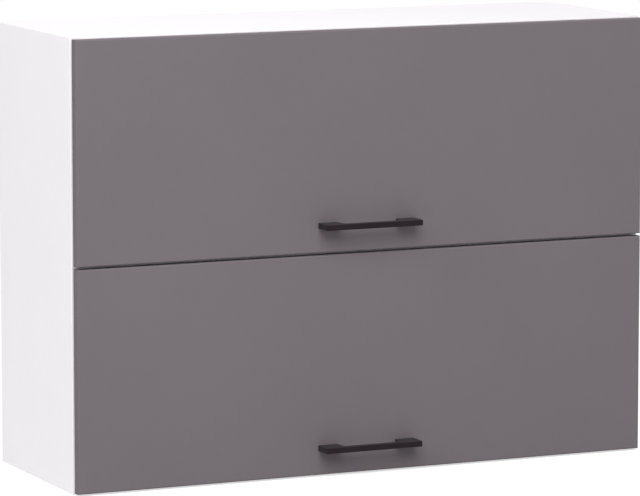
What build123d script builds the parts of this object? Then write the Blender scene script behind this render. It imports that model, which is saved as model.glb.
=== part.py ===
from build123d import *
import os
from math import asin, degrees, radians, sin, sqrt

# Kitchen wall cabinet with two top-hung lift-up doors, one above the other.
# All sizes are in millimetres. The doors face -Y, +X is to the right and +Z is up.
# The wall is the plane y = 0, the underside is z = 0, and x = 0 is the middle.

os.makedirs("parts", exist_ok=True)

# Carcass boards
cabinet_width = 1000
cabinet_height = 720
cabinet_depth = 320
board = 16
edging_chamfer = 0.8

# Back sheet in its grooves
back_sheet = 3
back_recess = 18
groove_depth = 8
groove_play = 0.2
groove_end_play = 0.5

# Doors
door_thickness = 16
door_standoff = 2.5
door_side_reveal = 2
door_end_reveal = 2
door_gap = 4
door_front_radius = 2.5
door_back_chamfer = 1.2

# Bridge handle, cut from a flat bar
handle_length = 170
handle_projection = 34
handle_height = 9
handle_bar = 12
handle_grip = 103
handle_grip_taper = 3
handle_grip_radius = 5
handle_corner_radius = 2.5
handle_edge_chamfer = 0.7
handle_rise = 44
handle_hole_spacing = 128
handle_thread_radius = 2
handle_thread_depth = 11
handle_screw_clearance = 1
handle_hole_play = 0.25
handle_hole_turn = 90

# Concealed hinge: line of the pins, measured from the door's back face and top edge
pin_depth = 9
pin_drop = 7.5
pin_radius = 1.5
pin_half_length = 9.4
pin_seat_play = 0.02
pin_play = 0.05
hinge_inset = 100

# Hinge cup
cup_radius = 17.5
cup_depth = 13
cup_edge_distance = 3
cup_wall = 0.9
cup_floor = 0.8
cup_play = 0.05
flange_width = 60
flange_height = 19
flange_drop = 4
flange_thickness = 1.2
flange_corner = 5
cup_screw_spacing = 48
cup_screw_drop = 6
lug_gap = 5.5
lug_rim = 3
lug_height = 6.5

# Hinge arm and mounting plate
eye_radius = 2.6
crank_width = 9
crank_gauge = 3.2
crank_bend_radius = 4
arm_drop = 13.5
arm_setback = 2.5
arm_overlap = 6
channel_width = 16.4
channel_length = 58
channel_floor = 2
channel_wall = 2.1
channel_wall_height = 4
ridge_play = 0.2
ridge_length = 48
plate_setback = 37
plate_width = 50
plate_length = 18
plate_thickness = 2
plate_corner = 3
plate_screw_spacing = 32
arm_screw_offset = 14

# Gas struts: both eyes turn at the same distance from the hinge line, so that a strut turns half
# as far as its door, and the rod stays in line with its cylinder at every angle
lift_radius = 165
carcass_pin_drop = 30
door_pin_back = 24
lift_angle = 85
strut_inset = 14
tube_radius = 7.5
tube_floor = 6
rod_radius = 3
rod_play = 0.08
rod_floor_margin = 3
rod_end_margin = 4
eye_to_tube = 14
eyelet_radius = 7.5
eyelet_thickness = 10
eyelet_seat = 0.2
strut_pin_radius = 4
strut_pin_play = 0.06
strut_pin_end = 1.5

# Strut brackets
bracket_gauge = 2
bracket_width = 18
bracket_height = 44
bracket_corner = 3
bracket_screw_spacing = 30
upright_margin = 7
upright_clearance = 5
door_bracket_width = 22

# Knock-down fittings of the boards
cam_radius = 7.4
cam_hole_radius = 7.5
cam_height = 12.5
cam_hole_depth = 13
cam_setback = 24
cam_mouth = 7.2
cam_mouth_height = 7.6
cam_mouth_reach = 4
cam_front_inset = 50
cam_rear_inset = 61
bolt_radius = 2.5
bolt_thread_length = 11
bolt_head_radius = 3.3
bolt_head_length = 6
bolt_tip = 3
dowel_radius = 4
dowel_length = 30
dowel_in_side = 11
dowel_offset = 32

# Wall hangers
hanger_width = 20
hanger_depth = 40
hanger_height = 56
hanger_drop = 6
hanger_chamfer = 8
hanger_seat = 0.3
hook_gauge = 2.5
hook_play = 0.25
hook_height = 20
hook_drop = 12
hook_front_inset = 10
hook_wall_gap = 3
hook_nose = 4
hook_notch = 4
hook_notch_depth = 12
hook_travel = 4
adjusting_screw_spacing = 12
adjusting_screw_clearance = 1
fixing_screw_inset = 5
cover_wall = 1.5
cover_room = 2.6

# Flats that stand for the round of small repeated pieces: hexagonal shanks and heads for threads and
# driven heads, and more flats for pins, eyes, rods, cams, dowels and bumpers
fastener_sides = 6
round_sides = 20
cam_sides = 10
dowel_sides = 8
bumper_sides = 12

# Screws
wood_screw_radius = 1.75
wood_screw_length = 12
wood_screw_head = 3.6
wood_screw_head_height = 1.4
screw_hole_play = 0.15
machine_screw_radius = 2.2
machine_screw_length = 5
machine_screw_head = 3.5
machine_screw_head_height = 1.6
handle_screw_head = 4.2
handle_screw_head_height = 2.4

# Rubber bumpers at the doors' lower corners
bumper_radius = 4
bumper_clearance = 0.3
bumper_side_inset = 8
bumper_rise = 10

# Places worked out from the sizes above
half_width = cabinet_width / 2
inner_half = half_width - board
middle = cabinet_height / 2
groove_width = back_sheet + 2 * groove_play
groove_y = -(back_recess + back_sheet / 2)
back_front_y = -(back_recess + back_sheet)
door_back_y = -(cabinet_depth + door_standoff)
door_front_y = door_back_y - door_thickness
door_width = cabinet_width - 2 * door_side_reveal
door_height = (cabinet_height - 2 * door_end_reveal - door_gap) / 2
pivot_y = door_back_y - pin_depth
hinge_x = door_width / 2 - hinge_inset
strut_x = inner_half - strut_inset
upright_x = strut_x - eyelet_thickness / 2 - upright_clearance
foot_x = upright_x - bracket_gauge + door_bracket_width / 2
cup_centre_drop = cup_edge_distance + cup_radius
levels = {
    "upper": {"top": cabinet_height - door_end_reveal, "ceiling": cabinet_height - board},
    "lower": {"top": door_end_reveal + door_height, "ceiling": middle - board / 2},
}
for level in levels.values():
    level["bottom"] = level["top"] - door_height
    level["pivot"] = level["top"] - pin_drop
    level["cup"] = level["top"] - cup_centre_drop
    level["arm_top"] = level["pivot"] - arm_drop
sides = {"left": -1, "right": 1}

# Triangle of each strut, in the plane across the hinge line
carcass_pin_y = pivot_y + sqrt(lift_radius**2 - carcass_pin_drop**2)
door_pin_y = pivot_y + door_pin_back
door_pin_drop = sqrt(lift_radius**2 - door_pin_back**2)
closed_length = sqrt((carcass_pin_y - door_pin_y) ** 2 + (door_pin_drop - carcass_pin_drop) ** 2)
closed_angle = 2 * asin(closed_length / (2 * lift_radius))
open_length = 2 * lift_radius * sin(closed_angle / 2 + radians(lift_angle) / 2)
tube_end = closed_length - eye_to_tube - rod_end_margin
bore_start = eye_to_tube + tube_floor
rod_start = bore_start + rod_floor_margin
rod_end = closed_length - eye_to_tube


def hex_bars(seats, outward, radius, length):
    """Hexagonal bars that start at the seats and run outward, or inward where the length is negative."""
    with BuildPart() as bars:
        for seat in seats:
            with BuildSketch(Plane(origin=seat, z_dir=outward)):
                RegularPolygon(radius, fastener_sides)
            extrude(amount=length)
    return bars.part


def hex_screws(seats, outward, shank_radius, shank_length, head_radius, head_height):
    """Screws whose heads rest on the seats and face outward."""
    heads = hex_bars(seats, outward, head_radius, head_height)
    shanks = hex_bars(seats, outward, shank_radius, -shank_length)
    with BuildPart() as screws:
        add(heads)
        add(shanks)
    return screws.part


def wood_screws(seats, outward, grip):
    """Wood screws that clamp a fitting of the given thickness to a board."""
    return hex_screws(
        seats,
        outward,
        wood_screw_radius,
        grip + wood_screw_length,
        wood_screw_head,
        wood_screw_head_height,
    )


def wood_screw_holes(seats, outward, grip):
    """Solids that cut the holes for wood screws in a fitting of the given thickness."""
    return hex_bars(seats, outward, wood_screw_radius + screw_hole_play, -grip)


def save(name, part):
    """Label one node and write its file."""
    part.label = name
    export_step(part, f"parts/{name}.step")


# Side panels, full height, with the back sheet's groove on the inner face
with BuildPart() as left_side:
    with BuildSketch(Plane.XY):
        with Locations((-half_width + board / 2, -cabinet_depth / 2)):
            Rectangle(board, cabinet_depth)
        with Locations((-inner_half - groove_depth / 2, groove_y)):
            Rectangle(groove_depth, groove_width, mode=Mode.SUBTRACT)
    extrude(amount=cabinet_height)
    chamfer(left_side.edges().filter_by(Axis.Z).group_by(Axis.Y)[0], edging_chamfer)
save("left_side_panel", left_side.part)

with BuildPart() as right_side:
    mirror(left_side.part, about=Plane.YZ)
save("right_side_panel", right_side.part)


# Each board between the sides has four cam nuts, two at each end
cam_places = [
    (side * (inner_half - cam_setback), y)
    for side in sides.values()
    for y in (-cabinet_depth + cam_front_inset, -cam_rear_inset)
]

# Top and bottom panels, between the sides, grooved for the back sheet
with BuildPart() as top_panel:
    with BuildSketch(Plane.YZ.offset(-inner_half)):
        with Locations((-cabinet_depth / 2, cabinet_height - board / 2)):
            Rectangle(cabinet_depth, board)
        with Locations((groove_y, cabinet_height - board + groove_depth / 2)):
            Rectangle(groove_width, groove_depth, mode=Mode.SUBTRACT)
    extrude(amount=2 * inner_half)
    chamfer(top_panel.edges().filter_by(Axis.X).group_by(Axis.Y)[0], edging_chamfer)
    with BuildSketch(Plane.XY.offset(cabinet_height - board)):
        with Locations(*cam_places):
            RegularPolygon(cam_hole_radius, cam_sides)
    extrude(amount=cam_hole_depth, mode=Mode.SUBTRACT)
save("top_panel", top_panel.part)

with BuildPart() as bottom_panel:
    mirror(top_panel.part, about=Plane.XY.offset(middle))
save("bottom_panel", bottom_panel.part)

# Fixed middle shelf, from the front edge back to the back sheet
with BuildPart() as middle_shelf:
    with BuildSketch(Plane.YZ.offset(-inner_half)):
        with Locations(((back_front_y - cabinet_depth) / 2, middle)):
            Rectangle(cabinet_depth + back_front_y, board)
    extrude(amount=2 * inner_half)
    chamfer(middle_shelf.edges().filter_by(Axis.X).group_by(Axis.Y)[0], edging_chamfer)
    with BuildSketch(Plane.XY.offset(middle - board / 2)):
        with Locations(*cam_places):
            RegularPolygon(cam_hole_radius, cam_sides)
    extrude(amount=cam_hole_depth, mode=Mode.SUBTRACT)
save("middle_shelf", middle_shelf.part)

# Wall hangers in the two upper rear corners: left side, then mirrored
hanger_top = cabinet_height - board - hanger_drop
hanger_back_y = back_front_y - hanger_seat
hanger_front_y = hanger_back_y - hanger_depth
hanger_x = -(inner_half - hanger_width / 2)
hook_top = hanger_top - hook_drop
hook_front_y = hanger_front_y + hook_front_inset

left_fixing_seats = [
    (-inner_half + hanger_width, hanger_front_y + hook_front_inset / 2, z)
    for z in (hook_top - hook_height - hook_travel - fixing_screw_inset, hanger_top - fixing_screw_inset)
]
left_fixing_holes = wood_screw_holes(left_fixing_seats, (1, 0, 0), hanger_width)
with BuildPart() as left_hanger_body:
    with BuildSketch(Plane.YZ.offset(-inner_half)):
        with Locations(((hanger_back_y + hanger_front_y) / 2, hanger_top - hanger_height / 2)):
            Rectangle(hanger_depth, hanger_height)
    extrude(amount=hanger_width)
    lower_front = left_hanger_body.edges().filter_by(Axis.X).group_by(Axis.Y)[0].sort_by(Axis.Z)[0]
    chamfer(lower_front, hanger_chamfer)
    with BuildSketch(Plane.YZ.offset(hanger_x - hook_gauge / 2 - hook_play)):
        with Locations(((hanger_back_y + hook_front_y - hook_play) / 2, hook_top - hook_height / 2)):
            Rectangle(hanger_back_y - hook_front_y + hook_play, hook_height + 2 * hook_travel)
    extrude(amount=hook_gauge + 2 * hook_play, mode=Mode.SUBTRACT)
    add(left_fixing_holes, mode=Mode.SUBTRACT)
save("left_wall_hanger_body", left_hanger_body.part)

with BuildPart() as left_hanger_hook:
    with BuildSketch(Plane.YZ.offset(hanger_x - hook_gauge / 2)):
        with Locations(((hook_front_y - hook_wall_gap) / 2, hook_top - hook_height / 2)):
            Rectangle(-hook_wall_gap - hook_front_y, hook_height)
        notch_y = -(hook_wall_gap + hook_nose + hook_notch / 2)
        with Locations((notch_y, hook_top - hook_height + hook_notch_depth / 2)):
            Rectangle(hook_notch, hook_notch_depth, mode=Mode.SUBTRACT)
    extrude(amount=hook_gauge)
save("left_wall_hanger_hook", left_hanger_hook.part)

with BuildPart() as hanger_covers:
    inner_reach = hanger_width + cover_room
    inner_depth = hanger_depth + cover_room
    inner_height = hanger_height + 2 * hanger_seat
    cover_middle_z = hanger_top - hanger_height / 2
    with BuildSketch(Plane.YZ.offset(-inner_half)):
        with Locations((hanger_back_y - (inner_depth + cover_wall) / 2, cover_middle_z)):
            Rectangle(inner_depth + cover_wall, inner_height + 2 * cover_wall)
    extrude(amount=inner_reach + cover_wall)
    with BuildSketch(Plane.YZ.offset(-inner_half)):
        with Locations((hanger_back_y - inner_depth / 2, cover_middle_z)):
            Rectangle(inner_depth, inner_height)
    extrude(amount=inner_reach, mode=Mode.SUBTRACT)
    mirror(about=Plane.YZ)
save("wall_hanger_covers", hanger_covers.part)

for left_piece, name in ((left_hanger_body, "body"), (left_hanger_hook, "hook")):
    with BuildPart() as right_piece:
        mirror(left_piece.part, about=Plane.YZ)
    save(f"right_wall_hanger_{name}", right_piece.part)

adjusting_seats = [
    (side * -hanger_x, hanger_front_y, hook_top - hook_height / 2 + step * adjusting_screw_spacing / 2)
    for side in sides.values()
    for step in (-1, 1)
]
save(
    "wall_hanger_adjusting_screws",
    hex_screws(
        adjusting_seats,
        (0, -1, 0),
        machine_screw_radius,
        hook_front_inset - hook_play - adjusting_screw_clearance,
        machine_screw_head,
        machine_screw_head_height,
    ),
)

left_fixing_screws = wood_screws(left_fixing_seats, (1, 0, 0), hanger_width)
with BuildPart() as hanger_fixing_screws:
    add(left_fixing_screws)
    mirror(about=Plane.YZ)
save("wall_hanger_fixing_screws", hanger_fixing_screws.part)

# Back sheet, sunk into the grooves all round, with a slot for each wall hook
with BuildPart() as back_panel:
    slot_width = hook_gauge + 4 * hook_play
    slot_height = hook_height + 2 * hook_travel
    with BuildSketch(Plane.XZ.offset(back_recess)):
        with Locations((0, middle)):
            Rectangle(
                2 * (inner_half + groove_depth - groove_end_play),
                cabinet_height - 2 * board + 2 * (groove_depth - groove_end_play),
            )
        with Locations(*[(side * hanger_x, hook_top - hook_height / 2) for side in sides.values()]):
            Rectangle(slot_width, slot_height, mode=Mode.SUBTRACT)
    extrude(amount=back_sheet)
save("back_panel", back_panel.part)

# Cam nuts, each open on the side that its bolt comes from
board_joints = [
    {"face": cabinet_height - board, "out": -1},
    {"face": middle - board / 2, "out": -1},
    {"face": board, "out": 1},
]
with BuildPart() as cam_nuts:
    for joint in board_joints:
        with BuildSketch(Plane.XY.offset(joint["face"])):
            with Locations(*cam_places):
                RegularPolygon(cam_radius, cam_sides)
        extrude(amount=-joint["out"] * cam_height)
        axis_z = joint["face"] - joint["out"] * board / 2
        for x, y in cam_places:
            side = 1 if x > 0 else -1
            with BuildSketch(Plane.YZ.offset(x - side * cam_mouth_reach)):
                with Locations((y, axis_z)):
                    Rectangle(cam_mouth, cam_mouth_height)
            extrude(amount=side * (cam_mouth_reach + cam_hole_radius), mode=Mode.SUBTRACT)
save("cam_nuts", cam_nuts.part)

# Cam bolts, threaded into the side panels, with their heads in the cam nuts
with BuildPart() as cam_bolts:
    for joint in board_joints:
        axis_z = joint["face"] - joint["out"] * board / 2
        for x, y in cam_places:
            side = 1 if x > 0 else -1
            bolt_end = cam_setback + bolt_tip
            for start, end, radius in (
                (-bolt_thread_length, bolt_end - bolt_head_length, bolt_radius),
                (bolt_end - bolt_head_length, bolt_end, bolt_head_radius),
            ):
                with BuildSketch(Plane.YZ.offset(side * (inner_half - start))):
                    with Locations((y, axis_z)):
                        RegularPolygon(radius, fastener_sides)
                extrude(amount=-side * (end - start))
save("cam_bolts", cam_bolts.part)

# Fluted dowels beside the front cams, half in the side panel and half in the board
with BuildPart() as wood_dowels:
    for joint in board_joints:
        axis_z = joint["face"] - joint["out"] * board / 2
        for side in sides.values():
            with BuildSketch(Plane.YZ.offset(side * (inner_half + dowel_in_side))):
                with Locations((-cabinet_depth + cam_front_inset + dowel_offset, axis_z)):
                    RegularPolygon(dowel_radius, dowel_sides)
            extrude(amount=-side * dowel_length)
save("wood_dowels", wood_dowels.part)


def handle_hole_places(level):
    """Places of the two handle holes, as (x, z) pairs."""
    return [(side * handle_hole_spacing / 2, level["bottom"] + handle_rise) for side in sides.values()]


def door_panel(level):
    """Slab with rounded front edges, two cup bores in the back and two handle holes right through."""
    clear_hole_radius = handle_thread_radius + handle_hole_play
    with BuildPart() as door:
        with BuildSketch(Plane.XZ.offset(-door_back_y)):
            with Locations((0, level["top"] - door_height / 2)):
                Rectangle(door_width, door_height)
        extrude(amount=door_thickness)
        front, back = door.faces().filter_by(Axis.Y).sort_by(Axis.Y)
        fillet(front.edges(), door_front_radius)
        chamfer(back.edges(), door_back_chamfer)
        with BuildSketch(Plane.XZ.offset(-door_back_y)):
            with Locations((-hinge_x, level["cup"]), (hinge_x, level["cup"])):
                Circle(cup_radius)
        extrude(amount=cup_depth, mode=Mode.SUBTRACT)
        with BuildSketch(Plane.XZ.offset(-door_back_y)):
            with Locations(*handle_hole_places(level)):
                RegularPolygon(clear_hole_radius, fastener_sides, rotation=handle_hole_turn)
        extrude(amount=door_thickness, mode=Mode.SUBTRACT)
    return door.part


def door_handle(level):
    """Bridge handle: a flat bar with the grip cut out from the door side."""
    with BuildPart() as handle:
        with BuildSketch(Plane.XY.offset(level["bottom"] + handle_rise - handle_height / 2)):
            with Locations((0, door_front_y - handle_projection / 2)):
                Rectangle(handle_length, handle_projection)
            grip_depth = handle_projection - handle_bar
            half_grip = handle_grip / 2
            with BuildLine():
                Polyline(
                    (-half_grip, door_front_y),
                    (half_grip, door_front_y),
                    (half_grip - handle_grip_taper, door_front_y - grip_depth),
                    (-half_grip + handle_grip_taper, door_front_y - grip_depth),
                    close=True,
                )
            make_face(mode=Mode.SUBTRACT)
        extrude(amount=handle_height)
        upright = handle.edges().filter_by(Axis.Z)
        fillet(upright.group_by(Axis.Y)[0], handle_corner_radius)
        fillet(upright.group_by(Axis.Y)[1], handle_grip_radius)
        feet = handle.faces().filter_by(Axis.Y).group_by(Axis.Y)[-1].edges()
        chamfer(handle.edges().group_by(Axis.Z)[0] - feet, handle_edge_chamfer)
        chamfer(handle.edges().group_by(Axis.Z)[-1] - feet, handle_edge_chamfer)
        with BuildSketch(Plane.XZ.offset(-door_front_y)):
            with Locations(*handle_hole_places(level)):
                RegularPolygon(handle_thread_radius, fastener_sides, rotation=handle_hole_turn)
        extrude(amount=handle_thread_depth, mode=Mode.SUBTRACT)
    return handle.part


def handle_screws(level):
    """Two screws through the door into the handle's legs."""
    seats = [(x, door_back_y, z) for x, z in handle_hole_places(level)]
    length = door_thickness + handle_thread_depth - handle_screw_clearance
    return hex_screws(
        seats,
        (0, 1, 0),
        handle_thread_radius,
        length,
        handle_screw_head,
        handle_screw_head_height,
    )


def cup_screw_seats(level):
    """Places of the two screws in each cup flange."""
    return [
        (x + side * cup_screw_spacing / 2, door_back_y + flange_thickness, level["cup"] - cup_screw_drop)
        for x in (-hinge_x, hinge_x)
        for side in sides.values()
    ]


def hinge_cups(level):
    """Two pressed cups with screw flanges and, inside, notched lugs that hold the ends of the pin."""
    lug_width = cup_radius - lug_gap
    lug_row = pin_drop - cup_centre_drop
    lug_places = [(side * (lug_gap + lug_width / 2), lug_row) for side in sides.values()]
    lug_top_y = door_back_y - cup_depth + cup_floor + lug_height
    notch_floor_y = pivot_y - pin_radius - pin_seat_play
    screw_holes = wood_screw_holes(cup_screw_seats(level), (0, 1, 0), flange_thickness)
    with BuildPart() as cups:
        for x in (-hinge_x, hinge_x):
            mouth = Plane(origin=(x, door_back_y, level["cup"]), x_dir=(1, 0, 0), z_dir=(0, 1, 0))
            floor = mouth.offset(-(cup_depth - cup_floor))
            with BuildSketch(mouth):
                Circle(cup_radius - cup_play)
            extrude(amount=-cup_depth)
            with BuildSketch(mouth) as flange:
                with Locations((0, flange_drop)):
                    Rectangle(flange_width, flange_height)
                chamfer(flange.vertices(), flange_corner)
            extrude(amount=flange_thickness)
            with BuildSketch(floor):
                Circle(cup_radius - cup_wall)
            extrude(amount=cup_depth - cup_floor + flange_thickness, mode=Mode.SUBTRACT)
            with BuildSketch(floor):
                Circle(cup_radius - cup_wall / 2)
                with Locations(*lug_places):
                    Rectangle(lug_width, 2 * (pin_radius + lug_rim), mode=Mode.INTERSECT)
            extrude(amount=lug_height)
            with BuildSketch(Plane.YZ.offset(x - pin_half_length)):
                with Locations(((notch_floor_y + lug_top_y) / 2, level["pivot"])):
                    Rectangle(lug_top_y - notch_floor_y, 2 * (pin_radius + pin_seat_play))
            extrude(amount=2 * pin_half_length, mode=Mode.SUBTRACT)
        add(screw_holes, mode=Mode.SUBTRACT)
    return cups.part


def hinge_pins(level):
    """The pins that the hinge arms turn on."""
    with BuildPart() as pins:
        for x in (-hinge_x, hinge_x):
            with BuildSketch(Plane.YZ.offset(x - pin_half_length)):
                with Locations((pivot_y, level["pivot"])):
                    RegularPolygon(pin_radius, round_sides)
            extrude(amount=2 * pin_half_length)
    return pins.part


def cup_screws(level):
    """Two screws through each cup flange."""
    return wood_screws(cup_screw_seats(level), (0, 1, 0), flange_thickness)


def arm_screw_seats(level, x):
    """Places of the two screws that clamp one hinge arm on its mounting plate."""
    plate_y = -cabinet_depth + plate_setback
    seat_z = level["arm_top"] - channel_floor
    return [(x, plate_y + step * arm_screw_offset, seat_z) for step in (-1, 1)]


def hinge_arm(level, x):
    """Cranked arm: an eye on the pin, a leg out of the cup, and a channel over the plate's ridge."""
    channel_front = -cabinet_depth + arm_setback
    run_z = level["arm_top"] - crank_gauge / 2
    screw_holes = hex_bars(
        arm_screw_seats(level, x), (0, 0, -1), machine_screw_radius + screw_hole_play, -channel_floor
    )
    with BuildPart() as arm:
        with BuildSketch(Plane.YZ.offset(x - crank_width / 2)):
            with BuildLine() as crank:
                FilletPolyline(
                    (pivot_y, level["pivot"]),
                    (pivot_y, run_z),
                    (channel_front + arm_overlap, run_z),
                    radius=crank_bend_radius,
                )
            trace(crank.line, crank_gauge)
            with Locations((pivot_y, level["pivot"])):
                RegularPolygon(eye_radius, round_sides)
                RegularPolygon(pin_radius + pin_play, round_sides, mode=Mode.SUBTRACT)
        extrude(amount=crank_width)
        with BuildSketch(Plane.XZ.offset(-channel_front)):
            with Locations((x, level["arm_top"] - channel_floor / 2)):
                Rectangle(channel_width, channel_floor)
            wall_x = (channel_width - channel_wall) / 2
            wall_z = level["arm_top"] + channel_wall_height / 2
            with Locations((x - wall_x, wall_z), (x + wall_x, wall_z)):
                Rectangle(channel_wall, channel_wall_height)
        extrude(amount=-channel_length)
        add(screw_holes, mode=Mode.SUBTRACT)
    return arm.part


def plate_screw_seats(level):
    """Places of the two screws in each mounting plate."""
    plate_y = -cabinet_depth + plate_setback
    seat_z = level["ceiling"] - plate_thickness
    return [
        (x + side * plate_screw_spacing / 2, plate_y, seat_z)
        for x in (-hinge_x, hinge_x)
        for side in sides.values()
    ]


def hinge_plates(level):
    """Two mounting plates under the board above the door, each with the ridge that its arm sits on."""
    screw_holes = wood_screw_holes(plate_screw_seats(level), (0, 0, -1), plate_thickness)
    with BuildPart() as plates:
        for x in (-hinge_x, hinge_x):
            plate_y = -cabinet_depth + plate_setback
            with BuildSketch(Plane.XY.offset(level["ceiling"])) as plate:
                with Locations((x, plate_y)):
                    Rectangle(plate_width, plate_length)
                chamfer(plate.vertices(), plate_corner)
            extrude(amount=-plate_thickness)
            with BuildSketch(Plane.XY.offset(level["ceiling"])):
                with Locations((x, plate_y)):
                    Rectangle(channel_width - 2 * (channel_wall + ridge_play), ridge_length)
            extrude(amount=-(level["ceiling"] - level["arm_top"]))
        add(screw_holes, mode=Mode.SUBTRACT)
    return plates.part


def strut_points(level):
    """Carcass pin and door pin of a strut, as (y, z) pairs, with the door closed."""
    carcass_pin = (carcass_pin_y, level["pivot"] - carcass_pin_drop)
    door_pin = (door_pin_y, level["pivot"] - door_pin_drop)
    return carcass_pin, door_pin


def strut_plane(level, x):
    """Plane across the hinge line with its origin at the carcass pin and its X along the strut."""
    (start_y, start_z), (end_y, end_z) = strut_points(level)
    along = (0, (end_y - start_y) / closed_length, (end_z - start_z) / closed_length)
    return Plane(origin=(x, start_y, start_z), x_dir=along, z_dir=(1, 0, 0))


def eyelet(plane, centre, neck_end):
    """Moulded end eye that turns on a bracket's pin and reaches to the end of the tube or the rod."""
    with BuildPart() as eye:
        with BuildSketch(plane.offset(-eyelet_thickness / 2)):
            with Locations((centre, 0)):
                RegularPolygon(eyelet_radius, round_sides)
            with Locations(((centre + neck_end) / 2, 0)):
                Rectangle(abs(neck_end - centre), 2 * eyelet_radius)
            with Locations((centre, 0)):
                RegularPolygon(strut_pin_radius + strut_pin_play, round_sides, mode=Mode.SUBTRACT)
        extrude(amount=eyelet_thickness)
    return eye.part


def strut_cylinder(level, x):
    """Cylinder with a closed end and a bore that the rod slides in, and its end eye."""
    plane = strut_plane(level, x)
    across = Plane(origin=plane.origin, x_dir=plane.z_dir, z_dir=plane.x_dir)
    eye = eyelet(plane, 0, eye_to_tube - eyelet_seat)
    with BuildPart() as cylinder:
        with BuildSketch(across.offset(eye_to_tube)):
            RegularPolygon(tube_radius, round_sides)
        extrude(amount=tube_end - eye_to_tube)
        with BuildSketch(across.offset(bore_start)):
            RegularPolygon(rod_radius + rod_play, round_sides)
        extrude(amount=tube_end - bore_start, mode=Mode.SUBTRACT)
        add(eye)
    return cylinder.part


def strut_rod(level, x):
    """Rod that slides in the cylinder, and its end eye."""
    plane = strut_plane(level, x)
    across = Plane(origin=plane.origin, x_dir=plane.z_dir, z_dir=plane.x_dir)
    eye = eyelet(plane, closed_length, rod_end + eyelet_seat)
    with BuildPart() as rod:
        with BuildSketch(across.offset(rod_start)):
            RegularPolygon(rod_radius, round_sides)
        extrude(amount=rod_end - rod_start)
        add(eye)
    return rod.part


def carcass_bracket_seats(level):
    """Places of the two screws in the right carcass bracket."""
    (pin_y, pin_z), _ = strut_points(level)
    seat_x = inner_half - bracket_gauge
    return [(seat_x, pin_y, pin_z + step * bracket_screw_spacing / 2) for step in (-1, 1)]


def carcass_brackets(level):
    """Plates on the side panels with the pins that the cylinders turn on."""
    (pin_y, pin_z), _ = strut_points(level)
    pin_tip = strut_x - eyelet_thickness / 2 - strut_pin_end
    screw_holes = wood_screw_holes(carcass_bracket_seats(level), (-1, 0, 0), bracket_gauge)
    with BuildPart() as brackets:
        with BuildSketch(Plane.YZ.offset(inner_half)) as plate:
            with Locations((pin_y, pin_z)):
                Rectangle(bracket_width, bracket_height)
            chamfer(plate.vertices(), bracket_corner)
        extrude(amount=-bracket_gauge)
        with BuildSketch(Plane.YZ.offset(inner_half)):
            with Locations((pin_y, pin_z)):
                RegularPolygon(strut_pin_radius, round_sides)
        extrude(amount=-(inner_half - pin_tip))
        add(screw_holes, mode=Mode.SUBTRACT)
        mirror(about=Plane.YZ)
    return brackets.part


def door_bracket_seats(level):
    """Places of the two screws in the foot of the right door bracket."""
    _, (_, pin_z) = strut_points(level)
    seat_y = door_back_y + bracket_gauge
    return [(foot_x, seat_y, pin_z + step * bracket_screw_spacing / 2) for step in (-1, 1)]


def door_brackets(level):
    """Angle brackets on the door's back with the pins that the rods turn on."""
    _, (pin_y, pin_z) = strut_points(level)
    pin_tip = strut_x + eyelet_thickness / 2 + strut_pin_end
    upright_end_y = pin_y + upright_margin
    screw_holes = wood_screw_holes(door_bracket_seats(level), (0, 1, 0), bracket_gauge)
    with BuildPart() as brackets:
        with BuildSketch(Plane.XZ.offset(-door_back_y)):
            with Locations((foot_x, pin_z)):
                Rectangle(door_bracket_width, bracket_height)
        extrude(amount=-bracket_gauge)
        with BuildSketch(Plane.YZ.offset(upright_x - bracket_gauge)) as upright:
            with Locations(((upright_end_y + door_back_y) / 2, pin_z)):
                Rectangle(upright_end_y - door_back_y, 2 * upright_margin)
            chamfer(upright.vertices().group_by(Axis.Y)[-1], bracket_corner)
        extrude(amount=bracket_gauge)
        with BuildSketch(Plane.YZ.offset(upright_x - bracket_gauge)):
            with Locations((pin_y, pin_z)):
                RegularPolygon(strut_pin_radius, round_sides)
        extrude(amount=pin_tip - upright_x + bracket_gauge)
        add(screw_holes, mode=Mode.SUBTRACT)
        mirror(about=Plane.YZ)
    return brackets.part


def door_bracket_screws(level):
    """Two wood screws in the foot of each door bracket."""
    right_screws = wood_screws(door_bracket_seats(level), (0, 1, 0), bracket_gauge)
    with BuildPart() as screws:
        add(right_screws)
        mirror(about=Plane.YZ)
    return screws.part


def door_bumpers(level):
    """Soft pads at the door's lower corners that land on the side panels' front edges."""
    pad_x = door_width / 2 - bumper_side_inset
    with BuildPart() as bumpers:
        with BuildSketch(Plane.XZ.offset(-door_back_y)):
            with Locations(*[(side * pad_x, level["bottom"] + bumper_rise) for side in sides.values()]):
                RegularPolygon(bumper_radius, bumper_sides)
        extrude(amount=-(door_standoff - bumper_clearance))
    return bumpers.part


# Doors and their fittings
door_pieces = {
    "door_panel": door_panel,
    "door_handle": door_handle,
    "handle_screws": handle_screws,
    "hinge_cups": hinge_cups,
    "hinge_cup_screws": cup_screws,
    "hinge_pins": hinge_pins,
    "door_strut_brackets": door_brackets,
    "door_bracket_screws": door_bracket_screws,
    "door_bumpers": door_bumpers,
    "hinge_mounting_plates": hinge_plates,
    "carcass_strut_brackets": carcass_brackets,
}
for level_name, level in levels.items():
    for piece_name, make in door_pieces.items():
        save(f"{level_name}_{piece_name}", make(level))
    for side_name, side in sides.items():
        save(f"{level_name}_{side_name}_hinge_arm", hinge_arm(level, side * hinge_x))
        save(f"{level_name}_{side_name}_strut_cylinder", strut_cylinder(level, side * strut_x))
        save(f"{level_name}_{side_name}_strut_rod", strut_rod(level, side * strut_x))

# Screws of the hinge plates, hinge arms and carcass brackets, at both levels
plate_screw_places = [seat for level in levels.values() for seat in plate_screw_seats(level)]
save("hinge_plate_screws", wood_screws(plate_screw_places, (0, 0, -1), plate_thickness))

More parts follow.
